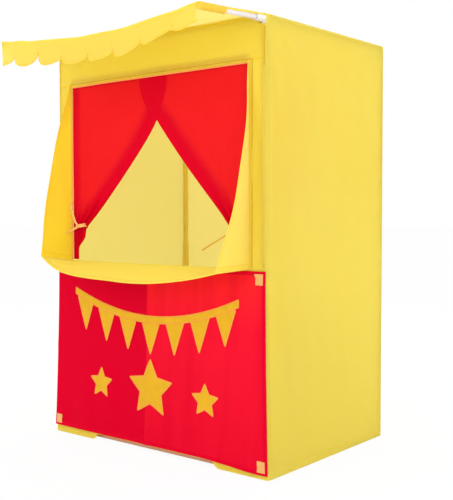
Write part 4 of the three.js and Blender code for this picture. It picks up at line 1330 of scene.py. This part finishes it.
def curtain_place(side):
    """Its outer edge is sewn beside the window, and the tie draws its free edge back to it."""
    size = sizes()
    layer = 0.0 if side > 0 else CURTAIN_LAYER_GAP

    def place(across, z):
        gather = 1 - between(z, TIE_RING_Z + 0.004, CURTAIN_CROSSING_Z)
        fall = 1 - between(z, CURTAIN_LOW.z + 0.02, TIE_RING_Z - 0.004)
        x = mix(curtain_inner_x(z, side), WINDOW_HALF - 0.0008, across)
        loose = np.clip(1 - across, 0, 1)
        plump = np.sin(math.pi * np.clip(loose * 1.25, 0, 1)) * gather ** 6 * (1 - fall)
        back = (BUNDLE_Y - FRONT_Y - CURTAIN_GAP) * gather ** 1.6 * (1 - 0.8 * fall) * loose ** 0.45
        depth = BUNDLE_HALF_DEPTH * gather ** 4 * (1 - 0.6 * fall) * smooth(loose * 4)
        wobble = 0.35 * np.sin(z * 37 + side) + 0.25 * np.sin(z * 83 + 2 * side)
        pleats = depth * 0.55 * np.cos(math.tau * CURTAIN_FOLD_COUNT * across ** 0.9 + wobble * (1 - gather))
        fan = creases(across * 0.42, z * 0.12, size.seed + 100 + side, 0.085) * 0.0022
        fan = fan * smooth((WINDOW_TOP - z) / 0.05) * (1 - gather ** 4)
        fan = fan * smooth(across * 9) * smooth((1 - across) * 9)
        y = FRONT_Y + CURTAIN_GAP + layer + back + pleats - 0.004 * plump + np.maximum(fan, -0.0016)
        return stack(side * x, np.maximum(y, FRONT_Y + 0.0026), z)

    return place


def curtain_layer(side):
    """Where the cloth lies double, its hems, and where shade is painted: where the front curtain covers the
    other one, beside the left curtain's outer seam and at the tie.
    """
    def hem(across, z):
        edge = curtain_inner_x(z, side)
        wide = np.maximum(WINDOW_HALF - edge, 0.02)
        inner = 1 - between(across * wide, *CURTAIN_HEM_BAND)
        # Beside the outer seam: seam allowance, and on the left mostly painted shade
        outer = (1 - between((1 - across) * wide, *CURTAIN_SEAM_HEM_AND_SHADE_BAND[side])) * CURTAIN_SEAM_HEM_AND_SHADE_SHARE[side]
        top = 0.4 * (1 - between(WINDOW_TOP - HEADER_DROP - z, 0.002, 0.012))
        # Gathered at the tie: its layers, and painted shade among its folds
        bundled = BUNDLE_LAYER_AND_SHADE_SHARE * (1 - between(z, TIE_RING_Z, TIE_RING_Z + 0.075))
        x = mix(edge, WINDOW_HALF, across)
        behind = -curtain_inner_x(z, -side)
        # Painted shade where the front curtain covers the back one
        covered = (1 - between(x, behind - 0.004, behind + 0.006)) if side > 0 else 0
        covered = covered * between(z, CURTAIN_CROSSING_Z - 0.004, CURTAIN_CROSSING_Z + 0.006)
        return np.clip(np.maximum.reduce(np.broadcast_arrays(inner, outer, top, covered, bundled)), 0, 1)

    return hem


def make_curtains():
    """Both curtains, each with a stitched hem down its free edge."""
    size = sizes()
    across = np.unique(np.concatenate([np.linspace(0, 1, 170), (0.003, 0.997)]))
    along = np.unique(np.concatenate([
        np.linspace(CURTAIN_LOW.z, CURTAIN_HIGH.z - 0.001, 130),
        np.linspace(TIE_RING_Z - 0.03, TIE_RING_Z + 0.05, 28)]))
    z = np.linspace(TIE_RING_Z + 0.05, CURTAIN_HIGH.z - 0.015, 220)
    for name, side in SIDES:
        place = curtain_place(side)
        layer = curtain_layer(side)

        def thickness(u, v, layer=layer):
            return size.cloth * 0.8 + size.hem * 0.5 * layer(u, v)

        curtain = cloth_piece(f"curtain_cloth_{name}", place, across, along, thickness, layer, side < 0)
        dress(curtain, "curtain", nodes=[f"curtain_{name}"])
        inset = 0.040 / np.maximum(WINDOW_HALF - curtain_inner_x(z, side), 0.05)
        rows = both_faces(place, inset, z, 0, size.cloth)
        thread = sewn(f"curtain_stitches_{name}", rows, "red_thread", "curtain_cloth")


def ribbon_mesh(path, width, thickness, turn=0.0):
    """A flat ribbon along a path of points, turned about it by so many radians along its length."""
    path = np.asarray(path, float)
    count = 60
    run = np.concatenate([[0], np.cumsum(np.linalg.norm(np.diff(path, axis=0), axis=1))])
    marks = np.linspace(0, run[-1], count)
    line = np.stack([np.interp(marks, run, path[:, k]) for k in range(3)], -1)
    for _ in range(6):
        line[1:-1] = (line[:-2] + line[2:] + 2 * line[1:-1]) / 4
    way = np.gradient(line, axis=0)
    way /= np.linalg.norm(way, axis=1, keepdims=True)
    flat = np.cross(way, (0, 1, 0))
    flat /= np.maximum(np.linalg.norm(flat, axis=1, keepdims=True), 1e-9)
    other = np.cross(way, flat)
    angle = (np.linspace(0, 1, count) * turn)[:, None]
    across = flat * np.cos(angle) + other * np.sin(angle)

    def place(u, v):
        k = np.rint(u).astype(int)
        return line[k] + across[k] * ((v - 0.5) * width)[..., None]

    return sheet_mesh(place, np.arange(count), np.linspace(0, 1, 4), thickness)[:2]


def ring_path(side, lift, count=48):
    """A loop round the gathered cloth, from the free edge out to the window's side."""
    inner, outer = RING_INNER_X[side] - 0.0016, WINDOW_HALF - 0.012
    turn = np.linspace(0, math.tau, count)
    middle_y = BUNDLE_Y - 0.001
    return stack(side * ((inner + outer) / 2 - (outer - inner) / 2 * np.cos(turn)),
                 middle_y + (BUNDLE_HALF_DEPTH + 0.002) * np.sin(turn) - 0.007 * (1 - np.cos(turn)) / 2,
                 TIE_RING_Z + lift + 0.004 * np.cos(turn))


def make_ties():
    """Each tie is a ribbon wound round the curtain, with a small knot in front and two ends."""
    width, thickness = TIE_WIDTH, TIE_THICKNESS
    seam_x = WINDOW_HALF - 0.0012
    front = BUNDLE_Y - BUNDLE_HALF_DEPTH - 0.003
    knot = {"left": (-0.2800, front - 0.001, TIE_RING_Z + 0.001),
            "right": (0.2580, front + 0.001, TIE_RING_Z - 0.009)}
    ends = {
        "left": [
            [knot["left"], (-0.290, front - 0.003, TIE_RING_Z + 0.011),
             (-0.2985, FRONT_Y, TIE_RING_Z + 0.026), (-seam_x, FRONT_Y - 0.0035, TIE_RING_Z + 0.048),
             (-seam_x - 0.0004, FRONT_Y - 0.003, TIE_RING_Z + 0.060)],
            [knot["left"], (-0.291, front - 0.006, TIE_RING_Z - 0.006),
             (-0.3030, FRONT_Y - 0.006, TIE_RING_Z - 0.012), (-0.3070, FRONT_Y - 0.022, TIE_RING_Z - 0.017)],
        ],
        "right": [
            [knot["right"], (0.275, front - 0.002, TIE_RING_Z + 0.003),
             (seam_x, FRONT_Y - 0.001, TIE_RING_Z + 0.012)],
            [knot["right"], (0.236, front - 0.003, TIE_RING_Z - 0.018), (0.212, front, TIE_RING_Z - 0.029),
             (0.186, front + 0.003, TIE_RING_Z - 0.040), (0.159, front + 0.006, TIE_RING_Z - 0.053)],
        ],
    }
    for name, side in SIDES:
        parts = [ribbon_mesh(ring_path(side, lift), width, thickness) for lift in (-0.0015, 0.002)]
        for number, path in enumerate(ends[name]):
            narrow = 0.6 if name == "right" and number else 1.0
            parts.append(ribbon_mesh(path, width * narrow, thickness, 0.9 - 1.5 * number))
        cx, cy, cz = knot[name]
        for tilt in (-0.5, 0.6):
            turn = np.linspace(0, math.tau, 30)
            loop = stack(cx + 0.0042 * np.cos(turn), cy - 0.0005 + 0.0030 * np.sin(turn),
                         cz + 0.0026 * np.sin(turn + tilt) + 0.002 * tilt)
            parts.append(ribbon_mesh(loop, width * 0.8, thickness * 1.3, 2.6))
        # The right tie gets the darker copy of the ribbon, which paints its shade
        tie = dress(joined_piece(f"curtain_tie_{name}", parts), "tie" if side < 0 else "shaded_tie",
                    nodes=[f"tieback_{name}"])


# Sign

def sign_y(x, z):
    """The sign's middle surface: a raised crease down its middle and slack ripples towards its hem."""
    size = sizes()
    x = np.asarray(x, float)
    z = np.asarray(z, float)
    low_share = np.clip((SIGN_HIGH.z - z) / (SIGN_HIGH.z - SIGN_LOW.z), 0, 1)
    below_seam = smooth((SIGN_HIGH.z - z) / 0.03)
    crease = SIGN_CREASE_HEIGHT * np.exp(-np.abs(x - SIGN_CREASE_X) / 0.012)
    crease = crease * smooth((SIGN_HIGH.z - z) / 0.08)
    cross = SIGN_FOLD_HEIGHT * np.exp(-np.abs(z - (SIGN_LOW.z + SIGN_HIGH.z) / 2) / 0.010)
    corners = [(a, b) for a in (-HALF_WIDTH, HALF_WIDTH) for b in (SIGN_LOW.z, SIGN_HIGH.z)]
    fade = smooth((HALF_WIDTH - np.abs(x)) / 0.04) * smooth((SIGN_HIGH.z - z) / 0.05)
    ripple = creases(x * 1.3, z * 0.35, size.seed + 110, 0.13) * mix(0.4, 1.6, low_share)
    ripple = ripple + 0.5 * creases(x, z, size.seed + 111, 0.16) + 0.8 * pulls(x, z, corners, 0.08, 7)
    out = mix(0.0002, 0.0014, below_seam) + crease + cross + SIGN_RIPPLE * fade * (1.3 + ripple)
    return SIGN_HIGH.y - 0.0006 - out


def sign_place(x, z):
    """The sign: its lower hem rises from the right corner, and leaves the bottom rail in view."""
    x = np.asarray(x, float)
    low_share = np.clip((SIGN_HIGH.z - z) / (SIGN_HIGH.z - SIGN_LOW.z), 0, 1)
    rise = SIGN_HEM_RISE * (1 - between(x, SIGN_RISE_END_X, HALF_WIDTH)) * low_share ** 2
    return flared(stack(x, sign_y(x, z), z + rise))


def on_sign(x, z, lift):
    """A point that far in front of the sign's middle surface."""
    points = sign_place(np.asarray(x, float), np.asarray(z, float))
    points[..., 1] -= lift
    return points


def make_banner():
    """The sign's cloth with its stitches and loop squares, one of which peels off at a corner."""
    hem, thickness = thick_hem(
        (lambda x, z: HALF_WIDTH - np.abs(x), SIGN_HEM),
        (lambda x, z: z - SIGN_LOW.z, SIGN_HEM),
        (lambda x, z: SIGN_HIGH.z - z, SIGN_HEM),
        folded=0.9,
    )
    across = np.unique(np.concatenate([
        stops(-HALF_WIDTH, HALF_WIDTH, 0.007, SIGN_HEM, SIGN_HEM),
        SIGN_CREASE_X + np.linspace(-0.012, 0.012, 13)]))
    along = stops(SIGN_LOW.z, SIGN_HIGH.z, 0.007, SIGN_HEM, SIGN_HEM)
    banner = cloth_piece("sign_cloth_panel", sign_place, across, along, thickness, hem)
    dress(banner, "sign", "sign", ["sign_banner"])
    rows = panel_seams(sign_place, (-HALF_WIDTH, HALF_WIDTH), (SIGN_LOW.z, SIGN_HIGH.z), (SIGN_HEM,) * 4)
    thread = sewn("sign_stitches", rows, "red_thread", "sign_cloth", "sign")
    patches = []
    places = []
    for corner in ("top_left", "top_right", "bottom_left", "bottom_right"):
        low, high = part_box(f"loop_patch_{corner}")
        centre_x, centre_z = (low.x + high.x) / 2, (low.z + high.z) / 2
        peel = HOOK_PEEL if corner == "top_right" else 0.0

        def place(u, v, centre_x=centre_x, centre_z=centre_z, peel=peel):
            lift = 0.0016 + peel * smooth((0.45 - u) * 2.2) * smooth((v - 0.55) * 2.2)
            return on_sign(centre_x + (u - 0.5) * HOOK_WIDTH, centre_z + (v - 0.5) * HOOK_HEIGHT, lift)

        grid = np.linspace(0, 1, 16)
        patch = cloth_piece(f"loop_square_{corner}", place, grid, grid, HOOK_THICKNESS)
        patches.append(dress(patch, "loop", "sign", [f"loop_patch_{corner}"]))
        places.append(place)
    edge = np.linspace(0.06, 0.94, 20)
    rows = [seam(place, u, v, HOOK_THICKNESS) for place in places
            for u, v in ((edge, 0.1), (edge, 0.9), (0.1, edge), (0.9, edge))]
    tape_thread = sewn("loop_square_stitches", rows, "thread", "loop_tape", "sign")
    return banner, [thread, tape_thread, *patches]


def resampled(outline, spacing=0.004):
    """The outline with points at even spacing, its corners kept."""
    points = []
    for a, b in zip(outline, outline[1:] + outline[:1]):
        steps = max(1, round(math.dist(a, b) / spacing))
        points += [(mix(a[0], b[0], k / steps), mix(a[1], b[1], k / steps)) for k in range(steps)]
    return np.array(points)


def felt_mesh(outline, centre, lift=0.0007, thickness=0.0012):
    """A cut felt shape that follows the sign, as rings from its centre to its outline."""
    edge = resampled(outline)
    shares = np.array((0.04, 0.2, 0.4, 0.6, 0.8, 0.95, 1.0))
    rings = [np.array(centre) + (edge - centre) * share for share in shares]
    flat = np.concatenate([[np.array(centre)], *rings])
    crown = np.concatenate([[1.0], np.repeat(np.array((1, 1, 1, 1, 1, 0.95, 0.6)), len(edge))])
    back = on_sign(flat[:, 0], flat[:, 1], lift)
    front = back - stack(0, thickness * crown, 0)
    count = len(edge)
    faces = []
    for k in range(count):
        after = (k + 1) % count
        faces.append((0, 1 + after, 1 + k))
        for ring in range(len(shares) - 1):
            a, b = 1 + ring * count + k, 1 + ring * count + after
            faces.append((a, b, b + count, a + count))
    total = len(flat)
    clockwise = np.sum((edge[:, 0] - np.roll(edge[:, 0], -1)) * (edge[:, 1] + np.roll(edge[:, 1], -1))) > 0
    last = 1 + (len(shares) - 1) * count
    backs = [tuple(corner + total for corner in face[::-1]) for face in faces]
    sides = [(last + k, last + (k + 1) % count, last + (k + 1) % count + total, last + k + total)
             for k in range(count)]
    every = faces + backs + sides
    if clockwise:
        every = [face[::-1] for face in every]
    return np.concatenate([front, back]), every


def satin_mesh(outline, width=0.0044, height=0.0013):
    """Satin stitch along an outline: a low round bead with a ridge for each thread."""
    edge = resampled(outline, 0.0011)
    ahead = np.roll(edge, -1, axis=0) - np.roll(edge, 1, axis=0)
    ahead /= np.maximum(np.linalg.norm(ahead, axis=1, keepdims=True), 1e-9)
    out = np.stack([ahead[:, 1], -ahead[:, 0]], -1)
    turns = np.linspace(0, math.pi, 7)
    ridge = 1 + 0.16 * np.where(np.arange(len(edge)) % 2, 1, -1)
    rings = []
    for turn in turns:
        flat = edge + out * (width / 2 * math.cos(turn))
        lift = 0.0012 + height * math.sin(turn) * ridge
        points = on_sign(flat[:, 0], flat[:, 1], 0)
        points[:, 1] -= lift
        rings.append(points)
    points = np.concatenate(rings)
    count = len(edge)
    faces = []
    for ring in range(len(turns)):
        after_ring = (ring + 1) % len(turns)
        for k in range(count):
            after = (k + 1) % count
            faces.append((ring * count + k, ring * count + after,
                          after_ring * count + after, after_ring * count + k))
    return points, faces


def star_outline(node):
    """The five-pointed star that fills a node's box, and its centre."""
    low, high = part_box(node)
    centre_x = (low.x + high.x) / 2
    radius = (high.x - low.x) / 2 / math.cos(math.radians(18))
    centre_z = high.z - radius
    points = []
    for k in range(10):
        reach = radius * (0.5 if k % 2 else 1)
        turn = math.pi / 2 + k * math.pi / 5
        points.append((centre_x + reach * math.cos(turn), centre_z + reach * math.sin(turn)))
    return points, (centre_x, centre_z)


def garland_z(x):
    """Height of the garland's upper edge, which hangs between its ends."""
    return GARLAND_END_Z - GARLAND_SAG * (1 - (x / GARLAND_HALF) ** 2)


def make_motifs():
    """The garland of pennants on its ribbon, and the three stars below it."""
    felts = []
    beads = []
    for k in range(PENNANT_COUNT):
        x = mix(-GARLAND_HALF, GARLAND_HALF, (k + 0.5) / PENNANT_COUNT)
        top = garland_z(x) - GARLAND_RIBBON * 0.6
        outline = [(x - PENNANT_WIDTH / 2, top), (x, top - PENNANT_HEIGHT), (x + PENNANT_WIDTH / 2, top)]
        felts.append(felt_mesh(outline, (x, top - PENNANT_HEIGHT * PENNANT_CENTRE_SHARE)))
        beads.append(satin_mesh(outline))
    xs = [mix(-GARLAND_HALF, GARLAND_HALF, k / 48) for k in range(49)]
    ribbon = [(x, garland_z(x)) for x in xs] + [(x, garland_z(x) - GARLAND_RIBBON) for x in reversed(xs)]

    def ribbon_place(share, across):
        x = mix(-GARLAND_HALF, GARLAND_HALF, share)
        return on_sign(x, garland_z(x) - GARLAND_RIBBON * (1 - across), 0.0023)

    felts.append(sheet_mesh(ribbon_place, np.linspace(0, 1, 120), np.linspace(0, 1, 7), 0.0014)[:2])
    beads.append(satin_mesh(ribbon, height=0.0022))
    garland = dress(joined_piece("garland_felt", felts), "felt", "sign", ["applique_garland"])
    edge = dress(joined_piece("garland_satin_edge", beads, 80), "felt_edge", "sign")
    pieces = [garland, edge]
    for node in ("applique_star", "applique_star_left", "applique_star_right"):
        outline, centre = star_outline(node)
        felt = joined_piece(f"{node}_felt", [felt_mesh(outline, centre)])
        star = dress(felt, "felt", "sign", [node])
        rim = dress(joined_piece(f"{node}_edge", [satin_mesh(outline)], 80), "felt_edge", "sign")
        pieces += [star, rim]
    return pieces


# Tubes and connectors

def make_tubes():
    """Smooth tubes with eased ends in place of the faceted ones."""
    inner, eased = TUBE_RADIUS - TUBE_WALL, TUBE_RADIUS - TUBE_EASE
    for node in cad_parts:
        if not node.startswith(("rail_", "post_", "awning_arm")):
            continue
        low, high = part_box(node)
        span = high - low
        axis = max(range(3), key=lambda k: span[k])
        middle = (low + high) / 2
        start, end = middle.copy(), middle.copy()
        start[axis], end[axis] = low[axis], high[axis]
        if node.startswith("awning_arm"):
            side = math.copysign(1, middle.x)
            start = Vector((side * arm_x(low.y), low.y, low.z + TUBE_RADIUS))
            end = Vector((side * arm_x(high.y), high.y, high.z - TUBE_RADIUS))
        long = (end - start).length
        profile = [(0, eased), (TUBE_EASE, TUBE_RADIUS), (long / 2, TUBE_RADIUS),
                   (long - TUBE_EASE, TUBE_RADIUS), (long, eased), (long, inner), (0, inner)]
        tube = joined_piece(f"tube_{node}", [turned_mesh(profile, start, end - start, 40)])
        dress(tube, "tube", nodes=[node])


def connector_arms(node):
    """The hub of a connector, and the ways of its arms, by its name."""
    side = 1 if node.endswith("right") else -1
    back = "back" in node
    y = BACK_POST_Y if back else FRONT_POST_Y
    inward = (-side, 0, 0)
    along = (0, -1, 0) if back else (0, 1, 0)
    if "corner_bottom" in node:
        return (side * POST_X, y, BOTTOM_RAIL_Z), [(0, 0, 1), inward, along]
    if "corner_top" in node:
        ways = [(0, 0, -1), inward, along]
        if not back:
            reach = ARM_HIGH.y - ARM_LOW.y
            lean = side * (arm_x(ARM_LOW.y) - arm_x(ARM_HIGH.y)) / reach
            ways.append((lean, -1, (ARM_LOW.z - ARM_HIGH.z + 2 * TUBE_RADIUS) / reach))
        return (side * POST_X, y, TOP_RAIL_Z), ways
    return (side * POST_X, y, SILL_RAIL_Z), [(0, 0, 1), (0, 0, -1)] + ([] if back else [inward])


def make_connectors():
    """Moulded connectors: a socket for each tube with a bead round its mouth, on a round hub."""
    outer, bore, reach = SOCKET_RADIUS, SOCKET_BORE, SOCKET_REACH
    bead = outer + SOCKET_BEAD
    socket = [(-outer * 0.72, CLOSED_END), (-outer * 0.70, outer * 0.62), (-outer * 0.36, outer * 0.92),
              (0, outer), (reach - 0.0042, outer), (reach - 0.0036, bead), (reach - 0.0008, bead),
              (reach, outer - 0.0001), (reach, bore + 0.0004), (reach - 0.0008, bore),
              (SOCKET_FLOOR, bore), (SOCKET_FLOOR, CLOSED_END)]
    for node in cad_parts:
        if not node.startswith(("corner_", "joint_", "coupler_")):
            continue
        hub, ways = connector_arms(node)
        parts = [turned_mesh(socket, hub, way, 40) for way in ways]
        if "corner_bottom" in node:
            foot = [(0, CLOSED_END), (0, outer - 0.001), (0.0006, outer - 0.0003), (hub[2], outer),
                    (hub[2], CLOSED_END)]
            parts.append(turned_mesh(foot, (hub[0], hub[1], 0), (0, 0, 1), 40))
        connector = joined_piece(f"connector_{node}", parts, 35)
        dress(connector, "connector", nodes=[node])


# Studio

def make_camera():
    """A level-rolled camera where the photographer stood."""
    studio = bpy.context.scene.theatre_studio
    camera = bpy.data.objects.new("studio_camera", bpy.data.cameras.new("studio_camera"))
    bpy.context.scene.collection.objects.link(camera)
    level = math.cos(studio.pitch)
    ahead = Vector((math.sin(studio.yaw) * level, math.cos(studio.yaw) * level, math.sin(studio.pitch)))
    camera.location = studio.place
    camera.rotation_euler = ahead.to_track_quat("-Z", "Y").to_euler()
    camera.data.lens = studio.lens
    camera.data.sensor_width = 36
    bpy.context.scene.camera = camera


def white_seen(tree):
    """1 for camera, glossy and transmission rays, which see the plain background."""
    rays = add(tree, "ShaderNodeLightPath")
    shiny = add(tree, "ShaderNodeMath", {"operation": "MAXIMUM"}, _0=(rays, "Is Glossy Ray"),
                _1=(rays, "Is Transmission Ray"))
    return add(tree, "ShaderNodeMath", {"operation": "MAXIMUM"}, _0=(rays, "Is Camera Ray"), _1=(shiny, 0)), 0


def make_world():
    """Even light from all round, and a white background."""
    studio = bpy.context.scene.theatre_studio
    world = bpy.data.worlds.new("studio_world")
    world.use_nodes = True
    tree = world.node_tree
    tree.nodes.clear()
    even = add(tree, "ShaderNodeBackground", None, Color=(1, 1, 1, 1), Strength=studio.sky)
    white = add(tree, "ShaderNodeBackground", None, Color=(1, 1, 1, 1), Strength=1.0)
    whole = add(tree, "ShaderNodeMixShader", None, _0=white_seen(tree), _1=(even, 0), _2=(white, 0))
    add(tree, "ShaderNodeOutputWorld", None, Surface=(whole, 0))
    bpy.context.scene.world = world


def make_floor():
    """A pale floor that the camera sees as almost white."""
    studio = bpy.context.scene.theatre_studio
    half = studio.floor
    corners = [(-half, -half, 0), (half, -half, 0), (half, half, 0), (-half, half, 0)]
    floor = mesh_piece("studio_floor", corners, [(0, 1, 2, 3)])
    material, tree = blank_finish("studio_floor")
    tint = linear(colours().floor)
    matt = add(tree, "ShaderNodeBsdfDiffuse", None, Color=tint)
    glow = add(tree, "ShaderNodeEmission", None, Color=(1, 1, 1, 1), Strength=1.0)
    rays = add(tree, "ShaderNodeLightPath")
    seen = add(tree, "ShaderNodeMath", {"operation": "MULTIPLY"}, _0=(rays, "Is Camera Ray"), _1=0.93)
    whole = add(tree, "ShaderNodeMixShader", None, _0=(seen, 0), _1=(matt, 0), _2=(glow, 0))
    add(tree, "ShaderNodeOutputMaterial", None, Surface=(whole, 0))
    floor.data.materials.append(material)


def make_lamp(name, place, target, power, width):
    """A square lamp that faces its target."""
    lamp = bpy.data.objects.new(name, bpy.data.lights.new(name, "AREA"))
    bpy.context.scene.collection.objects.link(lamp)
    lamp.location = place
    lamp.rotation_euler = (Vector(target) - Vector(place)).to_track_quat("-Z", "Y").to_euler()
    lamp.data.energy = power
    lamp.data.size = width


def make_lamps():
    """One lamp at the right, one in front, one overhead and one behind."""
    studio = bpy.context.scene.theatre_studio
    middle = (0, 0, 0.55)
    make_lamp("key_lamp", (2.75, -1.4, 1.22), middle, studio.key, 1.8)
    make_lamp("fill_lamp", (-1.0, -3.0, 1.6), middle, studio.fill, 2.0)
    make_lamp("top_lamp", (0.2, -0.4, 3.0), middle, studio.top, 2.4)
    make_lamp("back_lamp", (-0.8, 2.8, 1.8), middle, studio.back, 2.0)


# Operators

class THEATRE_OT_tubes(Operator):
    """Smooth the tubes and moulded connectors of the frame"""

    bl_idname = "theatre.tubes"
    bl_label = "Tubes and connectors"

    def execute(self, context):
        make_tubes()
        make_connectors()
        return {"FINISHED"}


class THEATRE_OT_cover(Operator):
    """Sew the walls, roof and front of the cover"""

    bl_idname = "theatre.cover"
    bl_label = "Cover"

    def execute(self, context):
        make_walls()
        make_roof()
        make_front()
        make_welts()
        make_window_piping()
        return {"FINISHED"}


class THEATRE_OT_post_sleeves(Operator):
    """Sew the channels that hold the posts"""

    bl_idname = "theatre.post_sleeves"
    bl_label = "Post sleeves"

    def execute(self, context):
        make_post_sleeves()
        return {"FINISHED"}


class THEATRE_OT_flaps(Operator):
    """Hang the two back flaps"""

    bl_idname = "theatre.flaps"
    bl_label = "Back flaps"

    def execute(self, context):
        make_flaps()
        return {"FINISHED"}


class THEATRE_OT_awning(Operator):
    """Stretch the awning over its arms and hang its valance"""

    bl_idname = "theatre.awning"
    bl_label = "Awning"

    def execute(self, context):
        make_awning()
        return {"FINISHED"}


class THEATRE_OT_ledge(Operator):
    """Hang the ledge's tray between its gussets"""

    bl_idname = "theatre.ledge"
    bl_label = "Ledge"

    def execute(self, context):
        make_ledge()
        return {"FINISHED"}


class THEATRE_OT_curtains(Operator):
    """Gather the curtains and tie them back"""

    bl_idname = "theatre.curtains"
    bl_label = "Curtains and ties"

    def execute(self, context):
        make_curtains()
        make_ties()
        return {"FINISHED"}


class THEATRE_OT_sign(Operator):
    """Hang the sign with its loop squares and sew its felt motifs"""

    bl_idname = "theatre.sign"
    bl_label = "Sign"

    def execute(self, context):
        banner, sewn = make_banner()
        sewn += make_motifs()
        return {"FINISHED"}


class THEATRE_OT_studio(Operator):
    """Set up the camera, the floor and the lamps"""

    bl_idname = "theatre.studio"
    bl_label = "Studio"

    def execute(self, context):
        context.scene.view_settings.view_transform = "Standard"
        make_camera()
        make_world()
        make_floor()
        make_lamps()
        return {"FINISHED"}


OPERATORS = (THEATRE_OT_studio, THEATRE_OT_tubes, THEATRE_OT_cover, THEATRE_OT_post_sleeves, THEATRE_OT_flaps,
             THEATRE_OT_awning, THEATRE_OT_ledge, THEATRE_OT_curtains, THEATRE_OT_sign)


class THEATRE_PT_panel(Panel):
    """A button for each part of the scene, and the settings below them"""

    bl_idname = "THEATRE_PT_panel"
    bl_label = "Puppet Theatre Stand"
    bl_space_type = "VIEW_3D"
    bl_region_type = "UI"
    bl_category = "Theatre"

    def draw(self, context):
        for operator in OPERATORS:
            self.layout.operator(operator.bl_idname)
        scene = context.scene
        for group in (scene.theatre_sizes, scene.theatre_colours, scene.theatre_studio):
            box = self.layout.box()
            for name in group.__annotations__:
                box.prop(group, name)


CLASSES = (TheatreSizes, TheatreColours, TheatreStudio, *OPERATORS, THEATRE_PT_panel)


def register():
    for each in CLASSES:
        bpy.utils.register_class(each)
    bpy.types.Scene.theatre_sizes = PointerProperty(type=TheatreSizes)
    bpy.types.Scene.theatre_colours = PointerProperty(type=TheatreColours)
    bpy.types.Scene.theatre_studio = PointerProperty(type=TheatreStudio)


def unregister():
    del bpy.types.Scene.theatre_studio
    del bpy.types.Scene.theatre_colours
    del bpy.types.Scene.theatre_sizes
    for each in reversed(CLASSES):
        bpy.utils.unregister_class(each)


def main():
    register()
    for operator in OPERATORS:
        family, name = operator.bl_idname.split(".")
        getattr(getattr(bpy.ops, family), name)()


if __name__ == "__main__":
    main()
